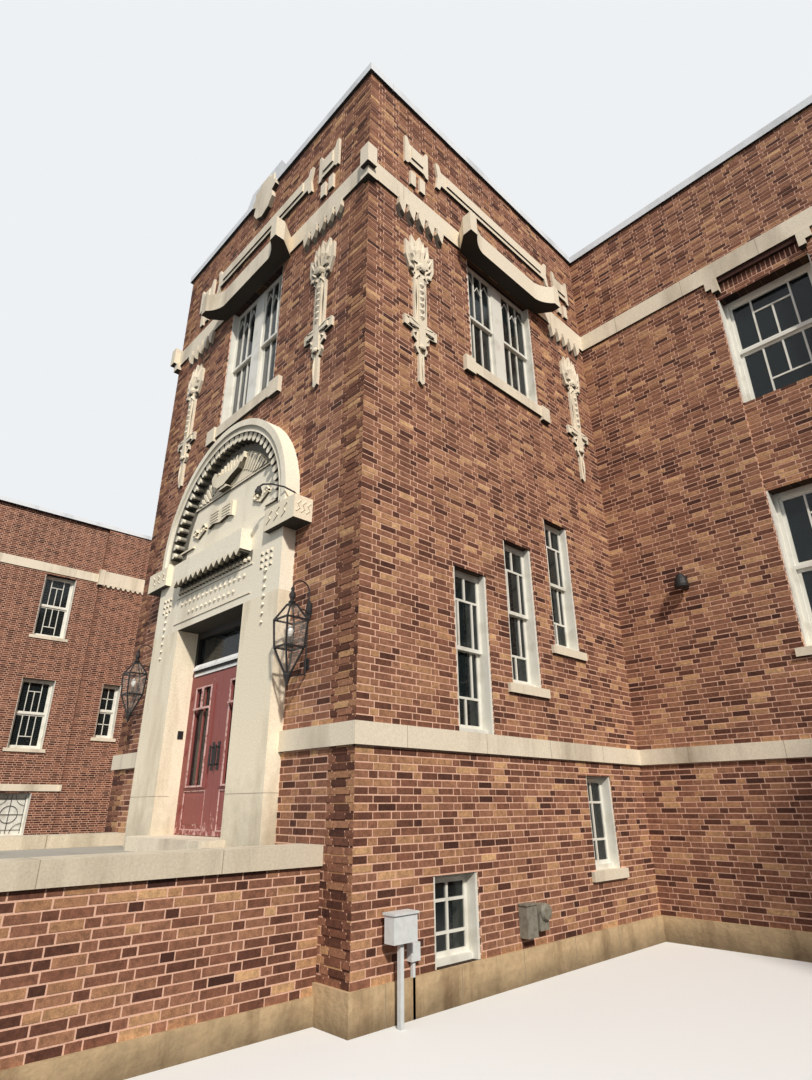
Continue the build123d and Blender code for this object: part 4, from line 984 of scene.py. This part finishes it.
coat(black_iron, "entrance_lanterns")
dusty_glass = new_material("dusty_lantern_glass")
geometry = add_node(dusty_glass, "NewGeometry")
_, film = clouds(dusty_glass, geometry, 0.08, 4.0, (0.35, 0.7), (0.01, 0.1))
shader = add_node(dusty_glass, "BsdfPrincipled", {
    "Base Color": linear("#D9D4C9"), "Roughness": 0.15, "IOR": 1.5, "Alpha": film})
add_node(dusty_glass, "OutputMaterial", {"Surface": shader})
milk_glass = patchy_paint("milk_glass_bulb", "#F4F2EC", "#DDD9CE", 0.2, 0.03, 2.0)
lantern_x, lantern_y = 2.02, -0.236
cage = ((0.037, 3.647), (0.127, 3.48), (0.11, 3.187), (0.01, 2.883))
pane_share = 0.94
pane_thickness = 0.003
knob = ((0.03, 3.655), (0.042, 3.675), (0.02, 3.70), (0.034, 3.735), (0.036, 3.765), (0.016, 3.80),
        (0.022, 3.83), (0.008, 3.85))
candle_tube = ((0.012, 3.187), (0.05, 3.19), (0.052, 3.2), (0.018, 3.215), (0.018, 3.30))
drop = ((0.01, 2.80), (0.03, 2.86), (0.045, 2.90), (0.02, 2.95), (0.012, 3.0))
bulb = ((0.016, 3.30), (0.03, 3.325), (0.036, 3.36), (0.03, 3.395), (0.008, 3.42))
wall_plate = ((0.05, -0.012), (0.05, 0.0))
plate_middle, plate_stretch = 3.62, 2.4
for side, hand in ((1, "right"), (-1, "left")):
    axis = Vector((side * lantern_x, lantern_y, 0))
    panes = []
    for (half, level), (next_half, next_level) in zip(cage, cage[1:]):
        corners = ((half, -1, level), (half, 1, level), (next_half, 1, next_level), (next_half, -1, next_level))
        for quarter in range(4):
            turn = Matrix.Rotation(math.pi / 2 * quarter, 3, "Z")
            panes.append(ringed([[axis + turn @ Vector((reach - inset, way * pane_share * reach, height))
                                  for reach, way, height in corners] for inset in (0.0, pane_thickness)]))
    joined_shapes(f"lantern_panes_{hand}", panes, dusty_glass)
    irons = [turned(profile, axis, 12) for profile in (knob, candle_tube, drop)]
    irons.append(moved(turned(wall_plate, (0, 0, 0), 16), lambda x, y, z: (
        axis.x + x, wall_plate[0][1] + z, plate_middle + plate_stretch * y)))
    for radius, height in ((0.075, 3.56), (0.05, 3.40)):
        irons.append(round_bar([(axis.x, -0.02 - radius + out, height + up)
                                for out, up in scroll(radius, 5.0, 12, 14)], 0.008, 6))
    joined_shapes(f"lantern_ironwork_{hand}", irons, black_iron)
    joined_shapes(f"lantern_bulb_{hand}", [turned(bulb, axis, 16)], milk_glass)

# Gooseneck lamp: a thin arm of black painted iron tube, screwed on the right impost, that reaches forward over
# the carved panel to a small cup
arm = [(1.84, -0.13, 4.99), (1.84, -0.13, 5.03), (1.80, -0.16, 5.10), (1.70, -0.24, 5.18), (1.56, -0.33, 5.24),
       (1.45, -0.385, 5.26), (1.39, -0.404, 5.24)]
cup = ((0.045, 5.16), (0.045, 5.185), (0.032, 5.21), (0.022, 5.24), (0.008, 5.25))
foot_plate = ((0.04, 4.985), (0.04, 5.0), (0.015, 5.01))
joined_shapes("gooseneck_lamp", [round_bar(arm, 0.011), turned(cup, (1.39, -0.404, 0)),
                                 turned(foot_plate, (1.84, -0.13, 0), 16)], black_iron)


# Wall lamp: a cast iron hood under black paint, on a short arm from a flat plate that is screwed to the main
# wall beside the tower
def cuboid(low, high):
    """A box from its lowest to its highest corner."""
    return ringed([[(low[0], low[1], level), (high[0], low[1], level), (high[0], high[1], level),
                    (low[0], high[1], level)] for level in (low[2], high[2])])


hood = ((0.02, 4.58), (0.10, 4.60), (0.105, 4.64), (0.085, 4.72), (0.05, 4.79), (0.01, 4.82))
joined_shapes("wall_lamp", [
    turned(hood, (3.972, 5.20, 0)), cuboid((3.93, 5.33, 4.60), (4.014, 5.352, 4.80)),
    round_bar([(3.972, 5.34, 4.74), (3.972, 5.27, 4.76), (3.972, 5.22, 4.78)], 0.016)], black_iron)

# Meter box: a steel case under grey paint gone chalky in patches, screwed to the base of the tower's flank,
# with a round meter beside it
grey_paint = patchy_paint("grey_service_paint", "#8A8577", "#6D675A", 0.5, 0.05, 5.0, (0.45, 0.7))
meter = ((0.085, 0.0), (0.085, 0.07), (0.07, 0.10), (0.02, 0.105))
joined_shapes("meter_box", [
    cuboid((2.84, 2.255, 0.40), (2.96, 2.43, 0.70)), cuboid((2.84, 2.245, 0.695), (2.972, 2.44, 0.712)),
    cuboid((2.84, 2.50, 0.44), (2.94, 2.66, 0.60)),
    moved(turned(meter, (0, 0, 0), 24), lambda x, y, z: (2.88 + z, 2.60 + x, 0.61 + y))], grey_paint)

# Post box: a white plastic case with a lid that laps over it, on a post by the tower's corner, and a small one
# beside it. The plastic has dulled in patches.
white_paint = patchy_paint("white_box_paint", "#EDF0F0", "#C9CCC9", 0.45, 0.05, 5.0)
joined_shapes("post_boxes", [
    cuboid((2.93, 0.30, 0.60), (3.05, 0.575, 0.815)), cuboid((2.915, 0.29, 0.81), (3.065, 0.585, 0.828)),
    cuboid((2.97, 0.41, 0.0), (3.01, 0.45, 0.60)), cuboid((2.85, 0.635, 0.42), (2.91, 0.745, 0.56)),
    cuboid((2.86, 0.67, 0.0), (2.89, 0.70, 0.42))], white_paint)

# Bell push: a small plate of iron under the same black paint as the lanterns, screwed on the left reveal of
# the doorway
joined_shapes("bell_push", [cuboid((-0.878, 0.012, 2.50), (-0.862, 0.085, 2.60))], black_iron)

# Mortar joints of the stonework: thin lines of grey lime mortar, pointed flush between the blocks of the belt,
# band, base, caps and piers. They are drawn a millimetre proud, to show.
joint_mortar = stone("grey_stone_joints", "#9C8F7B", "#857864", 0.01, 0.4, 0.001)
joint = 0.005
base_joint = 0.007
skin = 0.0012
doorway_half = 0.876
pier_joint = 1.79
pier_face = -0.18
cap_inner, cap_outer, cap_top = 2.06, 2.44, 1.344
belt_and_band = ((belt_low, belt_top, 0.0395, 0.0412), (band_low, band_top, 0.0345, 0.0362))
lines = []
for side in (1, -1):
    reveal, flank = side * doorway_half, side * portal_half
    near, far = sorted((reveal, flank))
    lines.append(((near, pier_face - skin, pier_joint), (far, pier_face + 0.01, pier_joint + joint)))
    for face in (reveal, flank):
        lines.append(((face - skin, pier_face, pier_joint), (face + skin, 0.0, pier_joint + joint)))
    for place in np.arange(0.62, tower_depth, 1.22):
        for foot, head, back, front in belt_and_band:
            lines.append(((side * (tower_half + back), place, foot),
                          (side * (tower_half + front), place + joint, head)))
    for place in np.arange(0.35, tower_depth, 0.95):
        lines.append(((side * (tower_half + 0.0385), place, 0.0),
                      (side * (tower_half + 0.0412), place + base_joint, base_top)))
    for place in np.arange(-2.35, 0, 1.35):
        lines.append(((side * cap_inner, place, cap_low),
                      (side * (cap_outer + skin), place + joint, cap_top + skin)))
    for place in np.arange(3.6, 17.0, 1.22):
        near, far = sorted((side * place, side * (place + joint)))
        for foot, head, back, front in belt_and_band:
            lines.append(((near, tower_depth - front, foot), (far, tower_depth - back, head)))
joined_shapes("stone_joints", [cuboid(low, high) for low, high in lines], joint_mortar)

# Carving on the portal, cut in the same limestone: a string course over the arched panel with a lamp on it,
# an open book below between scrolls, flutes round the panel's edge, strokes on the imposts, leaves and studs on
# the piers, and bands of leaves and beads on the lintel under a cornice with scalloped drops.
panel = -0.04
book_middle = -0.2
impost_face, impost_half = -0.26, 1.965
diamond = ((-1, 0), (0, -1), (1, 0), (0, 1))
square = ((-1, -1), (1, -1), (1, 1), (-1, 1))


def raised(outline, proud):
    """An outline of (x, z) pairs that stands proud of the panel."""
    return ringed([[(x, y, z) for x, z in outline] for y in (panel, panel - proud)])


def stud(shape, x, z, foot, top, proud):
    """A stud with sloped sides on a pier or the lintel, from the half sizes of its foot and of its top."""
    return ringed([[(x + across * wide, y, z + up * high) for across, up in shape]
                   for (wide, high), y in ((foot, pier_face), (top, pier_face - proud))])


carved = [cuboid((-1.06, panel - 0.022, 5.855), (1.06, panel, 5.885)),
          cuboid((-1.42, panel - 0.03, 5.235), (-0.98, panel, 5.262)),
          cuboid((0.98, panel - 0.03, 5.235), (1.42, panel, 5.262)),
          raised([(-0.20, 6.13), (0.02, 6.10), (0.12, 6.09), (0.28, 6.15), (0.36, 6.13), (0.30, 6.06),
                  (0.10, 6.0), (-0.08, 5.93), (-0.26, 5.93), (-0.40, 6.02), (-0.46, 6.13)], 0.115),
          raised([(-0.24, 5.885), (0.02, 5.885), (-0.05, 5.94), (-0.17, 5.94)], 0.10),
          raised([(0.33, 6.13), (0.40, 6.20), (0.38, 6.30), (0.30, 6.21), (0.27, 6.15)], 0.085),
          raised([(-0.50, 6.12), (-0.40, 6.13), (-0.36, 6.22), (-0.44, 6.26), (-0.52, 6.20)], 0.085)]
page = ((0.0, 5.40), (0.20, 5.44), (0.34, 5.40), (0.34, 5.62), (0.20, 5.66), (0.0, 5.61))
swag = ((0.66, 5.44), (0.86, 5.35), (1.04, 5.44))
stroke_levels = (4.78, 4.83, 4.88, 4.93)
for side in (1, -1):
    carved.append(raised([(side * x + book_middle, z) for x, z in page[::side]], 0.045))
    low, high = sorted((side * 0.05, side * 0.28))
    for line in range(4):
        level = 5.46 + 0.045 * line
        carved.append(cuboid((low + book_middle, panel - 0.052, level),
                             (high + book_middle, panel - 0.045, level + 0.016)))
    for centre, radius in ((side * 0.74, 0.085), (side * 0.98, 0.06)):
        carved.append(round_bar([(centre + across, panel - 0.02, 5.46 + up)
                                 for across, up in scroll(radius, 7.2, 9, 22)], 0.02, 6))
    carved.append(round_bar([(side * x, panel - 0.015, z) for x, z in swag], 0.018, 6))
    for place in (1.44, 1.60, 1.76):
        carved.append(round_bar([(side * (place + bend), impost_face, level)
                                 for bend, level in zip((-0.05, 0.03, -0.01, 0.06), stroke_levels)], 0.009, 6))
    for place in (-0.20, -0.13, -0.06):
        carved.append(round_bar([(side * impost_half, place + bend, level)
                                 for bend, level in zip((-0.03, 0.02, -0.01, 0.03), stroke_levels)], 0.009, 6))
    for count in range(7):
        size = 0.03 + 0.003 * count
        carved.append(stud(diamond, side * 1.33, 3.60 + 0.105 * count,
                           (size, size), (0.4 * size, 0.4 * size), 0.018))
    for row in range(3):
        for column in range(3):
            carved.append(stud(square, side * (1.23 + 0.1 * column), 4.30 + 0.085 * row,
                               (0.035, 0.03), (0.012, 0.01), 0.016))
scallops = 25
scallop_depth = 0.045
flute_foot = 0.97
flute_slope = 0.016
string_top = 0.76
low_turn = math.asin(string_top / panel_reach) + 0.01


def polar(reach, turn):
    """An (x, z) pair about the arch's centre."""
    return reach * math.cos(turn), reach * math.sin(turn)


field = [(way * panel_reach * math.cos(low_turn), string_top) for way in (-0.98, 0.98)]
edges = np.linspace(low_turn, math.pi - low_turn, scallops + 1)
for start, end in zip(edges, edges[1:]):
    outline = [polar(panel_reach - scallop_depth * (1 - math.sin(math.pi * part / 5)), turn)
               for part, turn in enumerate(np.linspace(start, end, 6))]
    outline += [polar(max(flute_foot, string_top / math.sin(turn)), turn) for turn in (end, start)]
    middle = np.mean(outline, axis=0)
    across = np.array((math.sin((start + end) / 2), -math.cos((start + end) / 2)))
    leaning = [point + math.copysign(flute_slope, np.dot(middle - point, across)) * across
               for point in np.array(outline)]
    carved.append(ringed([[(x, panel, arch_centre + z) for x, z in outline],
                          [(x, panel - 0.036, arch_centre + z) for x, z in leaning]]))
    field.append(polar(max(flute_foot + 0.01, string_top / math.sin(start) + 0.002), start))
carved.append(raised([(x, arch_centre + z) for x, z in field], 0.024))
cornice_front = -0.33
drops, drops_half = 13, 0.93
for count in range(drops):
    middle = drops_half * (2 * (count + 0.5) / drops - 1)
    carved.append(ringed([[(middle + across, y, cornice_foot - down)
                           for across, down in ((-0.068, 0.0), (0.068, 0.0), (-0.005, 0.078))]
                          for y in (cornice_front, cornice_front + 0.05)]))
bead = ((0.004, 0.0), (0.024, 0.012), (0.03, 0.034), (0.02, 0.056), (0.004, 0.066))
pearls, pearls_half = 22, 0.98
for count in range(pearls):
    middle = pearls_half * (2 * (count + 0.5) / pearls - 1)
    carved.append(moved(turned(bead, (0, 0, 0), 8), lambda x, y, z: (middle + x, -0.19 + y, 4.452 + z)))
for level in (4.405, 4.03):
    carved.append(cuboid((-1.02, pier_face - 0.01, level), (1.02, pier_face, level + 0.014)))
for level, reach in ((4.29, 0.84), (4.14, 0.60)):
    for middle in np.arange(-reach, reach + 0.01, 0.12):
        carved.append(stud(diamond, middle, level, (0.04, 0.045), (0.012, 0.014), 0.016))
joined_shapes("portal_carving", carved, portal_stone)

# Pendants' carving, cut in their fronts: leaves that fan out over a boss, scrolls beside it, a string of husks
# down the shaft, a moulded cross piece and a ridged pin. Thin dark sheets in the hollows between the leaves
# are painted shade.
painted_shade_stone = stone("painted_shade_in_carved_hollows", "#4A4038", "#2C2521", 0.01, 0.1, 0.002)
pendant_proud = 0.045
shaft_half, shaft_proud = 0.06, 0.022


def spindle(foot, head, width, proud):
    """A leaf from its foot to its head, both (along, up), with a ridge that stands proud of the face."""
    foot, head = Vector(foot), Vector(head)
    across = Vector((-(head - foot).y, (head - foot).x)).normalized() * width / 2
    belly = foot.lerp(head, 0.45)
    outline = [foot, belly + across, head, belly - across]
    ridge = [point.lerp(belly, 0.75) for point in outline]
    return ringed([[(point.x, rise, point.y) for point in ring]
                   for ring, rise in ((outline, 0.0), (ridge, proud))])


def boss(middle, radius, proud):
    """A round knob on the face."""
    turns = [math.tau * side / 12 for side in range(12)]
    return ringed([[(middle[0] + radius * share * math.cos(turn), proud * rise,
                     middle[1] + radius * share * math.sin(turn)) for turn in turns]
                   for share, rise in ((1.0, 0.0), (0.92, 0.5), (0.65, 0.86), (0.2, 1.0))])


def on_tower(low, high):
    """A function that puts a point (along, out, up) on the face of the tower that carries a box."""
    if high[0] - low[0] > high[1] - low[1]:
        middle = (low[0] + high[0]) / 2
        return lambda along, out, up: (middle + along, -out, low[2] + up)
    middle, side = (low[1] + high[1]) / 2, math.copysign(1, low[0])
    return lambda along, out, up: (side * (tower_half + out), middle + along, low[2] + up)


leaves = [boss((0.0, 1.93), 0.085, 0.05), boss((0.0, 0.56), 0.05, 0.035)]
hollows = []
for side in (1, -1):
    for foot_x, foot_z, head_x, head_z, width, proud in (
            (0.03, 2.02, 0.05, 2.48, 0.09, 0.03), (0.08, 2.0, 0.17, 2.40, 0.08, 0.035),
            (0.10, 1.97, 0.25, 2.27, 0.08, 0.03), (0.10, 1.90, 0.24, 2.08, 0.07, 0.03),
            (0.02, 1.84, 0.10, 1.70, 0.06, 0.03), (0.28, 0.96, 0.02, 0.90, 0.05, 0.03),
            (0.26, 0.84, 0.06, 0.84, 0.03, 0.02), (0.13, 0.80, 0.10, 0.72, 0.05, 0.03)):
        leaves.append(spindle((side * foot_x, foot_z), (side * head_x, head_z), width, proud))
    leaves.append(boss((side * 0.17, 1.86), 0.045, 0.035))
    for foot_x, foot_z, head_x, head_z, width in (
            (0.075, 2.04, 0.115, 2.36, 0.035), (0.125, 2.02, 0.20, 2.25, 0.035), (0.12, 1.93, 0.21, 1.98, 0.03),
            (0.10, 1.83, 0.13, 1.76, 0.03), (0.085, 1.66, 0.085, 1.08, 0.03)):
        hollows.append(spindle((side * foot_x, foot_z), (side * head_x, head_z), width, 0.006))
for count in range(6):
    leaves.append(spindle((0.0, 1.68 - 0.11 * count), (0.0, 1.56 - 0.11 * count), 0.10, 0.025))
leaves.append(spindle((0.0, 0.48), (0.0, 0.04), 0.035, 0.02))
carvings, painted_shade_sheets = [], []
for low, high in loose_boxes("wall_pendants"):
    if high[2] - low[2] < 2.0:
        continue
    put = on_tower(low, high)

    def on_pendant(along, out, up):
        """A point on the pendant's front, which stands further out along its shaft."""
        return put(along, pendant_proud + (shaft_proud if abs(along) < shaft_half else 0.0) + out, up)

    carvings.extend(moved(shape, on_pendant) for shape in leaves)
    painted_shade_sheets.extend(moved(shape, on_pendant) for shape in hollows)
# Painted shadow: a thin dark blot on the wall under each small dentil of the tower's band
shadow_blot = ((-0.085, 0.13), (-0.075, 0.02), (-0.045, -0.045), (0.0, -0.065), (0.05, -0.03), (0.08, 0.06),
           (0.085, 0.13))
for low, high in loose_boxes("band_dentils"):
    small = 0.1 < high[2] - low[2] < 0.3 and max(high[0] - low[0], high[1] - low[1]) <= 0.16
    if small and high[1] <= tower_depth:
        put = on_tower(low, high)
        painted_shade_sheets.append(ringed([[put(along, out, up) for along, up in shadow_blot] for out in (0.003, 0.0065)]))
joined_shapes("pendant_carving", carvings, limestone)
joined_shapes("pendant_painted_shade", painted_shade_sheets, painted_shade_stone)

# Transom bar: a sloped pine weather board nailed under the transom glass, over a black strip of painted shade
# and a thin bead. Its white paint is old, matt and blotched with grey.
bar_paint = stone("weathered_transom_paint", "#F3F1EE", "#B9B2AC", 0.01, 0.12, 0.001)
bar_half = 0.812
board = ((0.131, 3.475), (0.131, 3.385), (0.085, 3.385), (0.085, 3.415))
joined_shapes("transom_weather_board", [ringed([[(x, y, z) for y, z in board] for x in (-bar_half, bar_half)])],
              bar_paint)
joined_shapes("transom_shadow_strip", [cuboid((-bar_half, 0.112, 3.352), (bar_half, 0.131, 3.385))], black_iron)
joined_shapes("transom_bead", [cuboid((-bar_half, 0.118, 3.312), (bar_half, 0.131, 3.352))],
              bar_paint)

# Door mouldings: thin beads nailed round the glass and the recessed panels, whose paint has bleached to pale
# pink and flakes, raised red panels, and iron pulls on plates, screwed on beside the meeting stiles
pale_bead = patchy_paint(
    "bleached_pink_paint", "#D6B1AB", "#9B635C", 0.6, 0.04, 5.0, (0.5, 0.6), 0.7, rides=True)
bead_out, bead_in = 0.016, 0.004
bead_proud = 0.012
bar_half_width, bar_back = 0.007, 0.022
cross_bar_top, cross_bar_foot = 0.26, 0.285
for side, hand in ((1, "right"), (-1, "left")):
    low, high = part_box(f"door_glass_{hand}")
    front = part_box(f"door_leaf_{hand}")[0][1] + 0.026
    middle = (low[0] + high[0]) / 2
    beads = []
    for left, right in ((low[0] - bead_out, low[0] + bead_in), (high[0] - bead_in, high[0] + bead_out)):
        beads.append(cuboid((left, front, low[2] - bead_out), (right, front + bead_proud, high[2] + bead_out)))
    for foot, head in ((low[2] - bead_out, low[2] + bead_in), (high[2] - bead_in, high[2] + bead_out)):
        beads.append(cuboid((low[0] + bead_in, front, foot), (high[0] - bead_in, front + bead_proud, head)))
    beads.append(cuboid((middle - bar_half_width, front - bar_back, high[2] - cross_bar_top),
                        (middle + bar_half_width, front + 0.004, high[2])))
    beads.append(cuboid((low[0], front - bar_back, high[2] - cross_bar_foot),
                        (high[0], front + 0.006, high[2] - cross_bar_top)))
    for inner, outer, foot, head in ((0.170, 0.180, 1.405, 1.855), (0.730, 0.740, 1.405, 1.855),
                                     (0.180, 0.730, 1.405, 1.415), (0.180, 0.730, 1.845, 1.855)):
        left, right = sorted((side * inner, side * outer))
        beads.append(cuboid((left, 0.129, foot), (right, 0.140, head)))
    joined_shapes(f"door_beads_{hand}", beads, pale_bead, f"door_{hand}")
    field = ((0.215, 1.445), (0.695, 1.445), (0.695, 1.815), (0.215, 1.815))
    top = ((0.245, 1.475), (0.665, 1.475), (0.665, 1.785), (0.245, 1.785))
    joined_shapes(f"door_panel_{hand}", [ringed([[(side * x, 0.142, z) for x, z in field],
                                                 [(side * x, 0.131, z) for x, z in top]])],
                  red_paint, f"door_{hand}")
    pull_x = side * 0.07
    pull = [cuboid((pull_x - 0.030, 0.1255, 2.078), (pull_x + 0.030, 0.1302, 2.412)),
            round_bar([(pull_x, 0.085, 2.122), (pull_x, 0.085, 2.368)], 0.0125)]
    pull += [round_bar([(pull_x, 0.085, level), (pull_x, 0.1302, level)], 0.009) for level in (2.145, 2.345)]
    joined_shapes(f"door_pull_{hand}", pull, black_iron, f"door_{hand}")


# Studio: a pale floor without edges and a pale surround, a soft key light low from the right front, where
# the sun stood, and an even fill. Light that bounces off the floor is held back, so that soffits stay dark.
def seen_directly(owner):
    """1 for rays from the camera, off polished faces and through glass, and 0 for light that bounces."""
    rays = add_node(owner, "LightPath")
    seen = rays.outputs["Is Camera Ray"]
    for kind in ("Is Glossy Ray", "Is Transmission Ray"):
        seen = add_node(owner, "Math", {0: seen, 1: rays.outputs[kind]}, operation="MAXIMUM")
    return seen


floor_paint = new_material("pale_floor")
floor_tone = add_node(floor_paint, "Mix", {
    0: seen_directly(floor_paint), 6: linear("#4E4A46"), 7: linear("#F1F1EF")}, data_type="RGBA")
shader = add_node(floor_paint, "BsdfPrincipled", {
    "Base Color": floor_tone.outputs[2], "Roughness": 0.95, "Specular IOR Level": 0.1})
add_node(floor_paint, "OutputMaterial", {"Surface": shader})
ground_half = 300.0
ground_mesh = bpy.data.meshes.new("ground")
ground_mesh.from_pydata([(ground_half * x, ground_half * y, 0) for x, y in square], [], [(0, 1, 2, 3)])
ground_mesh.materials.append(floor_paint)
ground = bpy.data.objects.new("ground", ground_mesh)
bpy.context.scene.collection.objects.link(ground)

surround = bpy.data.worlds.new("studio")
bpy.context.scene.world = surround
surround.use_nodes = True
surround.node_tree.nodes.clear()
fill = add_node(surround, "Background", {"Color": linear("#DCE6F2"), "Strength": 0.72})
backdrop = add_node(surround, "Background", {"Color": linear("#EEF1F4"), "Strength": 1.0})
chosen = add_node(surround, "MixShader", {0: seen_directly(surround), 1: fill, 2: backdrop})
add_node(surround, "OutputWorld", {"Surface": chosen})

sun_travel = Vector((-0.71, 0.395, -0.583))
sun_data = bpy.data.lights.new("key", "SUN")
sun_data.energy = 3.35
sun_data.color = (1.0, 0.95, 0.87)
sun_data.angle = math.radians(3)
sun = bpy.data.objects.new("key", sun_data)
sun.rotation_euler = sun_travel.to_track_quat("-Z", "Y").to_euler()
bpy.context.scene.collection.objects.link(sun)

bpy.context.scene.view_settings.view_transform = "Standard"
